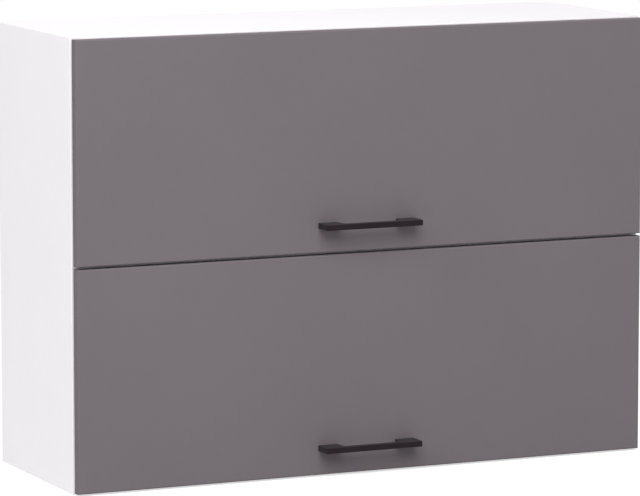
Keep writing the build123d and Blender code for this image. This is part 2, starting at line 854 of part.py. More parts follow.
arm_screw_places = [
    seat
    for level in levels.values()
    for x in (-hinge_x, hinge_x)
    for seat in arm_screw_seats(level, x)
]
save(
    "hinge_arm_screws",
    hex_screws(
        arm_screw_places,
        (0, 0, -1),
        machine_screw_radius,
        machine_screw_length,
        machine_screw_head,
        machine_screw_head_height,
    ),
)

bracket_screw_places = [seat for level in levels.values() for seat in carcass_bracket_seats(level)]
right_bracket_screws = wood_screws(bracket_screw_places, (-1, 0, 0), bracket_gauge)
with BuildPart() as carcass_bracket_screws:
    add(right_bracket_screws)
    mirror(about=Plane.YZ)
save("carcass_bracket_screws", carcass_bracket_screws.part)

print("strut closed length", round(closed_length, 3), "open length", round(open_length, 3))
print("strut travel", round(open_length - closed_length, 3), "closed angle", round(degrees(closed_angle), 3))
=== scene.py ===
import logging
from dataclasses import dataclass, field
from enum import Enum
from math import atan2, cos, pi, radians, sin, sqrt
from typing import Callable, Sequence, Union

import bmesh
import bpy
from mathutils import Matrix, Vector


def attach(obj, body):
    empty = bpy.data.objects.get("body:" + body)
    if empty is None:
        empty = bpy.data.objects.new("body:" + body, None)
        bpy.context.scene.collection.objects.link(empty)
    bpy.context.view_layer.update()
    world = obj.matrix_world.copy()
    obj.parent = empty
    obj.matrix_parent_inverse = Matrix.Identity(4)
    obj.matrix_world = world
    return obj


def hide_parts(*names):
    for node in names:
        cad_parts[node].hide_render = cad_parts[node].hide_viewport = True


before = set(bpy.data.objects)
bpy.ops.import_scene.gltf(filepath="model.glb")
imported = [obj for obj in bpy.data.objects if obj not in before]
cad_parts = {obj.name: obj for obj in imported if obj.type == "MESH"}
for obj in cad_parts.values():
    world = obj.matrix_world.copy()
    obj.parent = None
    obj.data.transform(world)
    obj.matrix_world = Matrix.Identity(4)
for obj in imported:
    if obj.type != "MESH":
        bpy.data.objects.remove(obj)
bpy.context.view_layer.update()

# Looks of a kitchen wall cabinet with two lift-up doors. Lengths are in metres in the cabinet's own frame:
# the wall is the plane y = 0, the doors face -Y, the underside is z = 0 and x = 0 is the middle.

MM = 0.001
LOG = logging.getLogger("cabinet")

Colour = Point = tuple[float, float, float]
Profile = Sequence[tuple[float, float]]
Socket = bpy.types.NodeSocket
Value = Union[Socket, float, Colour]
Shape = bmesh.types.BMesh
Vert, Edge, Face = bmesh.types.BMVert, bmesh.types.BMEdge, bmesh.types.BMFace

# Places and sizes that several sub-assemblies share
DOOR_FRONT = -338.5 * MM
DOOR_BACK = -322.5 * MM
DOOR_HEIGHT = 356 * MM
PIVOT_DROP = 7.5 * MM
HINGE_X = 398 * MM
CUP_FLANGE = 1.2 * MM
HANDLE_RISE = 44 * MM
INNER_HALF = 484 * MM
CAM_ROWS = (-270 * MM, -61 * MM)
PAIR = (-1, 1)
X_AXIS, Y_AXIS, Z_AXIS = Vector((1, 0, 0)), Vector((0, 1, 0)), Vector((0, 0, 1))


class Level(Enum):
    """The two doors: name, height of the top edge, and underside of the board that carries the door."""

    UPPER = ("upper", 718 * MM, 704 * MM)
    LOWER = ("lower", 358 * MM, 352 * MM)

    def __init__(self, label: str, top: float, ceiling: float) -> None:
        """Works out the door's other heights and the name of the body that moves with it.

        Args:
            label: The door's name in the names of the pieces.
            top: Height of its top edge.
            ceiling: Height of the underside of the board that carries it.
        """
        self.label, self.top, self.ceiling = label, top, ceiling
        self.bottom = top - DOOR_HEIGHT
        self.pivot = top - PIVOT_DROP
        self.body = f"{label}_door"


class Side(Enum):
    """The two ends of the cabinet, as seen from the front."""

    LEFT = -1
    RIGHT = 1

    @property
    def label(self) -> str:
        """The side's name in the names of the pieces."""
        return self.name.lower()

    @property
    def outward(self) -> Vector:
        """Direction from the cabinet's middle to this end."""
        return self.value * X_AXIS


class Graph:
    """A tree of shader nodes, with short calls that add and join them."""

    def __init__(self, tree: bpy.types.NodeTree) -> None:
        """Takes the tree that the nodes go into."""
        self.tree = tree

    def add(self, kind: str, inputs: dict[int | str, Value] | None = None, **settings: object) -> bpy.types.Node:
        """Adds a node.

        Args:
            kind: Type name of the node.
            inputs: What goes into its inputs, by their number or name.
            settings: Values of the node's own properties.

        Returns:
            The new node.
        """
        node = self.tree.nodes.new(kind)
        for name, value in settings.items():
            setattr(node, name, value)
        self.fill(node, inputs or {})
        return node

    def fill(self, node: bpy.types.Node, inputs: dict[int | str, Value]) -> None:
        """Joins sockets to a node's inputs, or sets the inputs to plain values.

        Args:
            node: The node.
            inputs: The socket, number or colour for each input, by its number or name.
        """
        for name, value in inputs.items():
            socket = node.inputs[name]
            if isinstance(value, bpy.types.NodeSocket):
                self.tree.links.new(value, socket)
            elif isinstance(value, tuple) and len(socket.default_value) == 4:
                socket.default_value = (*value, 1.0)
            else:
                socket.default_value = value

    def sum(self, operation: str, first: Value, second: Value = 0.0) -> Socket:
        """Works out one number from two, with a Math operation."""
        return self.add("ShaderNodeMath", {0: first, 1: second}, operation=operation).outputs[0]

    def ramp(self, value: Value, start: float, end: float, low: float = 0.0, high: float = 1.0) -> Socket:
        """Turns a value between start and end into one between low and high, held at both ends."""
        inputs = {"Value": value, "From Min": start, "From Max": end, "To Min": low, "To Max": high}
        return self.add("ShaderNodeMapRange", inputs, interpolation_type="LINEAR", clamp=True).outputs[0]

    def mix(self, share: Value, first: Value, second: Value) -> Socket:
        """Mixes two colours."""
        return self.add("ShaderNodeMix", {0: share, 6: first, 7: second}, data_type="RGBA").outputs[2]

    def place(self, stretch: Point = (1.0, 1.0, 1.0)) -> Socket:
        """Object coordinates, stretched along each axis."""
        point = self.add("ShaderNodeTexCoord").outputs["Object"]
        return self.add("ShaderNodeMapping", {"Vector": point, "Scale": stretch}).outputs[0]

    def parts(self, vector: Socket) -> list[Socket]:
        """The x, y and z numbers of a vector."""
        return list(self.add("ShaderNodeSeparateXYZ", {0: vector}).outputs)

    def noise(self, vector: Socket, scale: Value, detail: float = 2.0, roughness: float = 0.5) -> Socket:
        """A cloudy value about 0.5 whose features measure one over the scale, in metres."""
        inputs = {"Vector": vector, "Scale": scale, "Detail": detail, "Roughness": roughness}
        return self.add("ShaderNodeTexNoise", inputs).outputs[0]

    def bump(self, height: Socket, depth: float, strength: float) -> Socket:
        """A normal bent by a height, where depth is the height's full size in metres."""
        return self.add("ShaderNodeBump", {"Height": height, "Distance": depth, "Strength": strength}).outputs[0]

    def use(self, group: bpy.types.NodeTree, **values: Value) -> dict[str, Socket]:
        """Adds a shared group and gives its outputs by name."""
        node = self.add("ShaderNodeGroup", values, node_tree=group)
        return {output.name: output for output in node.outputs}


@dataclass(frozen=True)
class SharedEffect:
    """A node group that several finishes use.

    Args:
        name: Name of the group.
        inputs: Name and usual value of each number that goes in.
        outputs: Name of each value that comes out, beside the normal.
        draw: Fills the group and gives the value for each output name.
    """

    name: str
    inputs: tuple[tuple[str, float], ...]
    outputs: tuple[str, ...]
    draw: Callable[[Graph, dict[str, Socket]], dict[str, Socket]]

    def group(self) -> bpy.types.NodeTree:
        """Finds the group, or makes it when it is first asked for.

        Returns:
            The group.
        """
        found = bpy.data.node_groups.get(self.name)
        if found:
            return found
        tree = bpy.data.node_groups.new(self.name, "ShaderNodeTree")
        for name, value in self.inputs:
            socket = tree.interface.new_socket(name, in_out="INPUT", socket_type="NodeSocketFloat")
            socket.default_value = value
        for name in self.outputs:
            tree.interface.new_socket(name, in_out="OUTPUT", socket_type="NodeSocketFloat")
        tree.interface.new_socket("Normal", in_out="OUTPUT", socket_type="NodeSocketVector")
        graph = Graph(tree)
        start = graph.add("NodeGroupInput")
        results = self.draw(graph, {name: start.outputs[name] for name, _ in self.inputs})
        graph.add("NodeGroupOutput", results)
        return tree


def draw_pearl(graph: Graph, given: dict[str, Socket]) -> dict[str, Socket]:
    """Fine raised pearl of pressed board, with a slow change of tone over the board.

    Args:
        graph: The group's tree.
        given: The group's inputs, of which it takes the fineness.

    Returns:
        The tone, the grain and the normal.
    """
    place = graph.place()
    fine = graph.noise(place, given["Fineness"], detail=2.0, roughness=0.6)
    slow = graph.noise(place, 5.0, detail=3.0, roughness=0.45)
    blotch = graph.noise(place, 60.0)
    tone = graph.sum("ADD", graph.sum("MULTIPLY", slow, 0.7), graph.sum("MULTIPLY", blotch, 0.3))
    return {
        "Tone": graph.ramp(tone, 0.35, 0.65),
        "Grain": graph.ramp(fine, 0.3, 0.7),
        "Normal": graph.bump(fine, depth=0.06 * MM, strength=0.5),
    }


def draw_brushed(graph: Graph, given: dict[str, Socket]) -> dict[str, Socket]:
    """Fine draw lines of rolled or drawn metal, running along X, with faint stains.

    Args:
        graph: The group's tree.
        given: The group's inputs, of which it has none.

    Returns:
        The lines, the stains, the specks and the normal.
    """
    lines = graph.noise(graph.place((60.0, 3000.0, 3000.0)), 1.0)
    stains = graph.noise(graph.place(), 90.0, detail=3.0, roughness=0.55)
    speck = graph.noise(graph.place(), 900.0, detail=1.0)
    return {
        "Lines": graph.ramp(lines, 0.3, 0.7),
        "Stains": graph.ramp(stains, 0.35, 0.7),
        "Speck": graph.ramp(speck, 0.35, 0.65),
        "Normal": graph.bump(lines, depth=0.02 * MM, strength=0.35),
    }


def draw_orange_peel(graph: Graph, given: dict[str, Socket]) -> dict[str, Socket]:
    """Soft pimples of a baked powder coat or of moulded plastic.

    Args:
        graph: The group's tree.
        given: The group's inputs, of which it takes the fineness.

    Returns:
        The tone, the grain and the normal.
    """
    place = graph.place()
    peel = graph.noise(place, given["Fineness"])
    return {
        "Tone": graph.ramp(graph.noise(place, 30.0), 0.35, 0.65),
        "Grain": graph.ramp(peel, 0.3, 0.7),
        "Normal": graph.bump(peel, depth=0.08 * MM, strength=0.35),
    }


PEARL = SharedEffect("pearl_board", (("Fineness", 900.0),), ("Tone", "Grain"), draw_pearl)
BRUSHED = SharedEffect("brushed_metal", (), ("Lines", "Stains", "Speck"), draw_brushed)
PEEL = SharedEffect("orange_peel", (("Fineness", 1200.0),), ("Tone", "Grain"), draw_orange_peel)
ALL_METAL = (("Metallic", 1.0),)


@dataclass(frozen=True)
class Finish:
    """A finish whose colour and gloss follow the values of a shared effect.

    Args:
        name: Name of the material, as in the record's list of slots.
        light: Colour of the paler places.
        dark: Colour of the darker places.
        smooth: Roughness of the smoother places.
        rough: Roughness of the rougher places.
        effect: The shared effect.
        fineness: Grains in a metre, or nought for an effect that has none.
        tone: The effect's value that the colour follows.
        shine: The effect's value that the gloss follows.
        even: Inputs of the shader that are the same all over the surface.
    """

    name: str
    light: Colour
    dark: Colour
    smooth: float
    rough: float
    effect: SharedEffect = PEEL
    fineness: float = 1200.0
    tone: str = "Tone"
    shine: str = "Grain"
    even: tuple[tuple[str, float], ...] = ()

    def material(self) -> bpy.types.Material:
        """Finds the material, or makes it when it is first asked for.

        Returns:
            The material.
        """
        full_name = f"{self.name}_finish"
        found = bpy.data.materials.get(full_name)
        if found:
            return found
        material = bpy.data.materials.new(full_name)
        material.use_nodes = True
        graph = Graph(material.node_tree)
        graph.fill(material.node_tree.nodes["Principled BSDF"], self.draw(graph))
        return material

    def draw(self, graph: Graph) -> dict[str, Value]:
        """Draws the effect and what follows from it.

        Args:
            graph: The material's tree.

        Returns:
            The value for each input of the shader.
        """
        given = {"Fineness": self.fineness} if self.fineness else {}
        marks = graph.use(self.effect.group(), **given)
        rough = graph.ramp(marks[self.shine], 0.0, 1.0, self.smooth, self.rough)
        inputs = {"Base Color": self.colour(graph, marks), "Roughness": rough, "Normal": marks["Normal"]}
        return inputs | dict(self.even)

    def colour(self, graph: Graph, marks: dict[str, Socket]) -> Socket:
        """Colour that goes from dark to light with the effect."""
        return graph.mix(marks[self.tone], self.dark, self.light)

    def paint(self, thing: bpy.types.Object) -> None:
        """Gives the finish to a thing, in place of what it had."""
        thing.data.materials.clear()
        thing.data.materials.append(self.material())


@dataclass(frozen=True)
class EdgedBoardFinish(Finish):
    """Melamine face of a board, with a hairline where its front edging strip meets it.

    Args:
        edging_y: Depth at which the edging strip meets the face.
        hairline: Half widths of the line's dark core and of the whole line.
        line_share: Strength of the line at its core.
        line_shade: Colour of the line as a share of the board's darker colour.
    """

    effect: SharedEffect = PEARL
    fineness: float = 900.0
    edging_y: float = -319 * MM
    hairline: tuple[float, float] = (0.08 * MM, 0.2 * MM)
    line_share: float = 0.5
    line_shade: float = 0.6

    def colour(self, graph: Graph, marks: dict[str, Socket]) -> Socket:
        """Colour of the melamine, with the hairline.

        Args:
            graph: The material's tree.
            marks: What the effect gives.

        Returns:
            The colour.
        """
        y = graph.parts(graph.place())[1]
        away = graph.sum("ABSOLUTE", graph.sum("SUBTRACT", y, self.edging_y))
        line = graph.ramp(away, *self.hairline, self.line_share, 0.0)
        return graph.mix(line, super().colour(graph, marks), tuple(self.line_shade * part for part in self.dark))


@dataclass(frozen=True)
class DoorFinish(Finish):
    """Matt coloured film on the front and edges of a door, darkened at the two ends as painted shade, and plain
    melamine on its back.

    Args:
        back: Colour of the melamine on the back.
        back_edge: How far in front of the back face the film ends and the melamine begins.
        back_gloss: How much smoother the melamine is.
        half_width: Half the width of the door.
        front_radius: Radius of the door's front edges.
        painted_end_shade: How much darker the two end edges are painted, as painted shade for ends that take less
            light than the front.
    """

    effect: SharedEffect = PEARL
    fineness: float = 1600.0
    even: tuple[tuple[str, float], ...] = (("Specular IOR Level", 0.15),)
    back: Colour = (0.84, 0.83, 0.84)
    back_edge: tuple[float, float] = (0.25 * MM, 0.15 * MM)
    back_gloss: float = 0.15
    half_width: float = 498 * MM
    front_radius: float = 2.5 * MM
    painted_end_shade: float = 0.13

    def draw(self, graph: Graph) -> dict[str, Value]:
        """The film, wrapped round the edges up to the white back, with painted shade that darkens the two end
        edges.

        Args:
            graph: The material's tree.

        Returns:
            The value for each input of the shader.
        """
        inputs = super().draw(graph)
        x, y, _ = graph.parts(graph.place())
        # Painted shade: the two end edges and their front rounding are darkened towards black, standing in for the
        # lesser light on faces that look sideways.
        radius_start = self.half_width - self.front_radius
        end = graph.ramp(graph.sum("ABSOLUTE", x), radius_start, self.half_width, 0.0, self.painted_end_shade)
        film = graph.mix(end, inputs["Base Color"], (0.0, 0.0, 0.0))
        is_back = graph.ramp(y, *(DOOR_BACK - edge for edge in self.back_edge))
        smoother = graph.sum("MULTIPLY", is_back, self.back_gloss)
        rough = graph.sum("SUBTRACT", inputs["Roughness"], smoother)
        return inputs | {"Base Color": graph.mix(is_back, film, self.back), "Roughness": rough}


@dataclass(frozen=True)
class MetalFinish(Finish):
    """Bare or plated metal with draw lines and faint stains."""

    effect: SharedEffect = BRUSHED
    fineness: float = 0.0
    shine: str = "Lines"
    even: tuple[tuple[str, float], ...] = ALL_METAL

    def colour(self, graph: Graph, marks: dict[str, Socket]) -> Socket:
        """Colour that the stains darken, more at each speck."""
        stain = graph.sum("MULTIPLY", marks["Stains"], graph.ramp(marks["Speck"], 0.0, 1.0, 0.5, 1.0))
        return graph.mix(stain, self.light, self.dark)


@dataclass(frozen=True)
class BeechFinish(Finish):
    """Turned beech whose grain runs along X."""

    def draw(self, graph: Graph) -> dict[str, Value]:
        """Long fibres with the short dark flecks of beech.

        Args:
            graph: The material's tree.

        Returns:
            The value for each input of the shader.
        """
        fibres = graph.noise(graph.place((40.0, 1400.0, 1400.0)), 1.0, detail=3.0, roughness=0.6)
        flecks = graph.noise(graph.place((400.0, 2600.0, 2600.0)), 1.0, detail=1.0)
        wood = graph.mix(graph.ramp(fibres, 0.3, 0.7), self.dark, self.light)
        fleck = graph.ramp(flecks, 0.62, 0.72, 0.0, 0.5)
        return {
            "Base Color": graph.mix(fleck, wood, tuple(0.5 * part for part in self.dark)),
            "Roughness": graph.ramp(fibres, 0.3, 0.7, self.rough, self.smooth),
            "Normal": graph.bump(fibres, depth=0.1 * MM, strength=0.4),
        }


WHITE_LAMINATE = EdgedBoardFinish("white_laminate", (0.876, 0.848, 0.876), (0.856, 0.828, 0.856), 0.36, 0.46)
WHITE_BACK_SHEET = Finish("white_back_sheet", (0.85, 0.84, 0.845), (0.825, 0.815, 0.82), 0.5, 0.6, PEARL, 500.0)
GREY_DOOR_FILM = DoorFinish("grey_door_film", (0.166, 0.146, 0.157), (0.1595, 0.1395, 0.1505), 0.55, 0.65)
BLACK_COAT = Finish(
    "black_coated_metal", (0.015, 0.01, 0.013), (0.011, 0.007, 0.009), 0.5, 0.6,
    even=(("Specular IOR Level", 0.1), ("Sheen Weight", 0.06)),
)
NICKEL = MetalFinish("nickel_plated_steel", (0.66, 0.64, 0.61), (0.56, 0.54, 0.5), 0.2, 0.34)
ZINC = MetalFinish("zinc_plated_steel", (0.63, 0.64, 0.66), (0.5, 0.52, 0.55), 0.24, 0.4)
CASTING = Finish(
    "zinc_casting", (0.58, 0.58, 0.59), (0.48, 0.48, 0.5), 0.38, 0.5, PEEL, 1500.0, "Grain", "Tone", ALL_METAL
)
TUBE_PAINT = Finish("strut_tube_black", (0.022, 0.022, 0.024), (0.016, 0.016, 0.018), 0.26, 0.34, PEEL, 1500.0)
CHROME = MetalFinish("strut_rod_chrome", (0.8, 0.8, 0.82), (0.72, 0.72, 0.74), 0.06, 0.12)
BLACK_NYLON = Finish("black_nylon", (0.028, 0.028, 0.03), (0.02, 0.02, 0.022), 0.45, 0.55, PEEL, 800.0)
WHITE_PLASTIC = Finish(
    "white_plastic", (0.84, 0.84, 0.83), (0.81, 0.81, 0.8), 0.36, 0.44, PEEL, 700.0,
    even=(("Subsurface Weight", 0.05), ("Subsurface Scale", 2 * MM)),
)
RUBBER = Finish(
    "soft_bumper", (0.74, 0.74, 0.72), (0.66, 0.66, 0.64), 0.4, 0.55, PEEL, 600.0,
    even=(("Specular IOR Level", 0.4), ("Subsurface Weight", 0.3), ("Subsurface Scale", 2 * MM)),
)
BEECH = BeechFinish("beech", (0.6, 0.4, 0.23), (0.46, 0.29, 0.15), 0.6, 0.75)


def only(kind: type, items: Sequence[object]) -> list:
    """The vertices, edges or faces among what an operator gives."""
    return [item for item in items if isinstance(item, kind)]


def turn_to(axis: Vector, x: float = 0.0, y: float = 0.0, z: float = 0.0) -> Matrix:
    """The move that takes +Z to an axis and the origin to a point."""
    return Matrix.Translation((x, y, z)) @ Z_AXIS.rotation_difference(axis).to_matrix().to_4x4()


def turned(profile: Profile, steps: int) -> Shape:
    """Turns a profile round the Z axis, as on a lathe.

    Args:
        profile: Radius and height of each point.
        steps: Flats round the piece.

    Returns:
        The turned shape.
    """
    shape = bmesh.new()
    points = [shape.verts.new((radius, 0.0, height)) for radius, height in profile]
    edges = [shape.edges.new(pair) for pair in zip(points, points[1:])]
    bmesh.ops.spin(
        shape,
        geom=points + edges,
        cent=(0, 0, 0),
        axis=(0, 0, 1),
        dvec=(0, 0, 0),
        angle=2 * pi,
        steps=steps,
        use_merge=True,
        use_duplicate=False,
    )
    bmesh.ops.remove_doubles(shape, verts=shape.verts, dist=0.001 * MM)
    bmesh.ops.recalc_face_normals(shape, faces=shape.faces)
    return shape


def mirrored(profile: Profile) -> list[tuple[float, float]]:
    """A profile after its own mirror image below height nought."""
    return [(radius, -height) for radius, height in reversed(profile)] + list(profile)


def block(low: Vector, high: Vector) -> Shape:
    """A box between two corners.

    Args:
        low: The corner with the least x, y and z.
        high: The opposite corner.

    Returns:
        The box.
    """
    shape = bmesh.new()
    move = Matrix.Translation((low + high) / 2) @ Matrix.Diagonal((*(high - low), 1))
    bmesh.ops.create_cube(shape, size=1.0, matrix=move)
    return shape


def raised(shape: Shape, faces: Sequence[Face], height: float) -> list[Vert | Edge | Face]:
    """Draws faces out along the Z axis.

    Args:
        shape: The shape that they are part of.
        faces: The faces, which stay behind as well.
        height: How far they move.

    Returns:
        The new vertices, edges and faces.
    """
    drawn = bmesh.ops.extrude_face_region(shape, geom=list(faces))["geom"]
    bmesh.ops.translate(shape, vec=(0, 0, height), verts=only(Vert, drawn))
    return drawn


def cut(shape: Shape, place: Vector, normal: Vector, clear: bool) -> list[Edge]:
    """Cuts a shape with a plane.

    Args:
        shape: The shape.
        place: A point of the plane.
        normal: Direction square to the plane.
        clear: Whether what lies beyond the plane goes.

    Returns:
        The edges of the cut.
    """
    geom = shape.verts[:] + shape.edges[:] + shape.faces[:]
    made = bmesh.ops.bisect_plane(shape, geom=geom, plane_co=place, plane_no=normal, clear_outer=clear)
    return only(Edge, made["geom_cut"])


def round_edges(shape: Shape, edges: Sequence[Edge], radius: float, steps: int) -> None:
    """Rounds edges of a shape.

    Args:
        shape: The shape.
        edges: Its edges to round.
        radius: Radius of the rounding.
        steps: Flats round each edge.
    """
    bmesh.ops.bevel(
        shape,
        geom=list(edges),
        offset=radius,
        offset_type="OFFSET",
        affect="EDGES",
        segments=steps,
        profile=0.5,
        material=-1,
        clamp_overlap=True,
    )


def sharp_edges(shape: Shape, least: float = radians(35)) -> list[Edge]:
    """Edges whose faces meet at more than an angle."""
    return [edge for edge in shape.edges if len(edge.link_faces) == 2 and edge.calc_face_angle(0) > least]


def run(edge: Edge) -> Vector:
    """Direction of an edge."""
    return (edge.verts[1].co - edge.verts[0].co).normalized()


def edges_along(shape: Shape, axis: Vector) -> list[Edge]:
    """Edges that run along an axis."""
    return [edge for edge in shape.edges if abs(run(edge).dot(axis)) > 0.999]


def eased(node: str, radius: float, least: float = radians(30), steps: int = 2) -> Shape:
    """A merged copy of a solid with its sharp edges rounded.

    Args:
        node: Name of the solid.
        radius: Radius of the rounded edges.
        least: Angle above which an edge counts as sharp.
        steps: Flats round each edge.

    Returns:
        The rounded copy.
    """
    shape = bmesh.new()
    shape.from_mesh(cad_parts[node].data)
    bmesh.ops.remove_doubles(shape, verts=shape.verts, dist=0.001 * MM)
    bmesh.ops.dissolve_limit(shape, angle_limit=radians(0.5), verts=shape.verts, edges=shape.edges)
    round_edges(shape, sharp_edges(shape, least), radius, steps)
    return shape


def mesh_of(shape: Shape, name: str = "single") -> bpy.types.Mesh:
    """Makes a shape into a mesh.

    Args:
        shape: The shape, which is used up.
        name: Name of the mesh.

    Returns:
        The mesh.
    """
    mesh = bpy.data.meshes.new(name)
    shape.to_mesh(mesh)
    shape.free()
    return mesh


def copies(moves: Sequence[Matrix], *shapes: Shape) -> Shape:
    """Copies shapes to each place, all in one shape.

    Args:
        moves: The move of each copy.
        shapes: The shapes, which are used up.

    Returns:
        All copies together.
    """
    singles = [mesh_of(shape) for shape in shapes]
    together = bmesh.new()
    for move in moves:
        start = len(together.verts)
        for single in singles:
            together.from_mesh(single)
        together.verts.ensure_lookup_table()
        bmesh.ops.transform(together, matrix=move, verts=together.verts[start:])
    for single in singles:
        bpy.data.meshes.remove(single)
    return together


def shown(name: str, data: bpy.types.ID) -> bpy.types.Object:
    """Puts a new object in the scene, at the origin.

    Args:
        name: Its name.
        data: Its mesh, lamp or camera.

    Returns:
        The object.
    """
    made = bpy.data.objects.new(name, data)
    bpy.context.scene.collection.objects.link(made)
    return made


def piece(
    name: str, shape: Shape, finish: Finish, body: str, nodes: Sequence[str] = (), smooth: float = 35.0
) -> None:
    """Makes a shape into a finished piece that rides on a body.

    Args:
        name: Name of the piece.
        shape: The shape in the cabinet's frame, which is used up.
        finish: Its finish.
        body: The body that it moves with.
        nodes: The solids that it stands for.
        smooth: Angle in degrees below which edges look round.
    """
    for face in shape.faces:
        face.smooth = True
    for edge in shape.edges:
        edge.smooth = not edge.is_boundary and edge.calc_face_angle(pi) < radians(smooth)
    made = shown(name, mesh_of(shape, name))
    made.modifiers.new("even_shading", "WEIGHTED_NORMAL").keep_sharp = True
    finish.paint(made)
    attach(made, body)
    if nodes:
        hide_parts(*nodes)
    LOG.info("%s on %s, %d faces", name, body, len(made.data.polygons))


@dataclass
class Carcass:
    """The boards, whose edging is eased, and the back sheet."""

    edge_radius: float = 0.25 * MM
    boards: tuple[str, ...] = ("left_side_panel", "right_side_panel", "top_panel", "bottom_panel", "middle_shelf")
    sheet: str = "back_panel"

    def build(self) -> None:
        """Eases the boards, gives them their laminate and gives the back sheet its lacquer."""
        for name in self.boards:
            piece(f"{name}_board", eased(name, self.edge_radius), WHITE_LAMINATE, "root", (name,))
        WHITE_BACK_SHEET.paint(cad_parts[self.sheet])
        LOG.info("%s finished", self.sheet)


@dataclass
class Fittings:
    """Wall hangers, mounting plates, hinge arms and strut brackets: their solids with eased edges."""

    pressed_radius: float = 0.3 * MM
    moulded_radius: float = 0.8 * MM

    def build(self) -> None:
        """Makes each fitting from its solid."""
        for side in Side:
            self.make(f"{side.label}_wall_hanger_hook", ZINC)
            self.make(f"{side.label}_wall_hanger_body", WHITE_PLASTIC, radius=self.moulded_radius)
        self.make("wall_hanger_covers", WHITE_PLASTIC)
        self.make("wall_hanger_adjusting_screws", ZINC)
        self.make("wall_hanger_fixing_screws", ZINC)
        for level in Level:
            self.make(f"{level.label}_hinge_mounting_plates", NICKEL)
            self.make(f"{level.label}_carcass_strut_brackets", ZINC)
            for side in Side:
                self.make(f"{level.label}_{side.label}_hinge_arm", NICKEL)
            self.make(f"{level.label}_door_strut_brackets", ZINC, level.body)

    def make(self, node: str, finish: Finish, body: str = "root", radius: float | None = None) -> None:
        """Makes one fitting from its solid, with edges rounded as on pressed metal if no radius is given."""
        piece(f"{node}_eased", eased(node, radius or self.pressed_radius), finish, body, (node,))


@dataclass
class Door:
    """One lift-up door: its panel and its bridge handle."""

    level: Level
    length: float = 170 * MM
    projection: float = 34 * MM
    height: float = 9 * MM
    bar: float = 12 * MM
    grip: float = 103 * MM
    grip_taper: float = 3 * MM
    grip_radius: float = 5 * MM
    corner_radius: float = 2.5 * MM
    edge_radius: float = 0.7 * MM

    def handle(self) -> Shape:
        """A flat bar with the grip cut out from the door's side and all its edges eased.

        Returns:
            The handle in the cabinet's frame.
        """
        half, grip = self.length / 2, self.grip / 2
        floor = grip - self.grip_taper
        back, front = DOOR_FRONT, DOOR_FRONT - self.projection
        inner = front + self.bar
        low = self.level.bottom + HANDLE_RISE - self.height / 2
        outline = [(-half, back), (-half, front), (half, front), (half, back)]
        outline += [(grip, back), (floor, inner), (-floor, inner), (-grip, back)]
        shape = bmesh.new()
        face = shape.faces.new([shape.verts.new((x, y, low)) for x, y in outline])
        raised(shape, [face], self.height)
        bmesh.ops.recalc_face_normals(shape, faces=shape.faces)
        upright = edges_along(shape, Z_AXIS)
        corners = [edge for edge in upright if abs(edge.verts[0].co.y - front) < MM]
        hollows = [edge for edge in upright if abs(edge.verts[0].co.y - inner) < MM]
        round_edges(shape, corners, self.corner_radius, 8)
        round_edges(shape, hollows, self.grip_radius, 10)
        rims = [edge for edge in sharp_edges(shape) if not self.on_door(edge) and abs(run(edge).z) < 0.5]
        round_edges(shape, rims, self.edge_radius, 3)
        return shape

    def on_door(self, edge: Edge) -> bool:
        """Whether an edge lies against the door's face."""
        return all(abs(vertex.co.y - DOOR_FRONT) < 0.01 * MM for vertex in edge.verts)

    def build(self) -> None:
        """Finishes the panel and makes the handle."""
        GREY_DOOR_FILM.paint(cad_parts[f"{self.level.label}_door_panel"])
        name = f"{self.level.label}_door_handle"
        piece(f"{name}_bar", self.handle(), BLACK_COAT, self.level.body, (name,), 50.0)


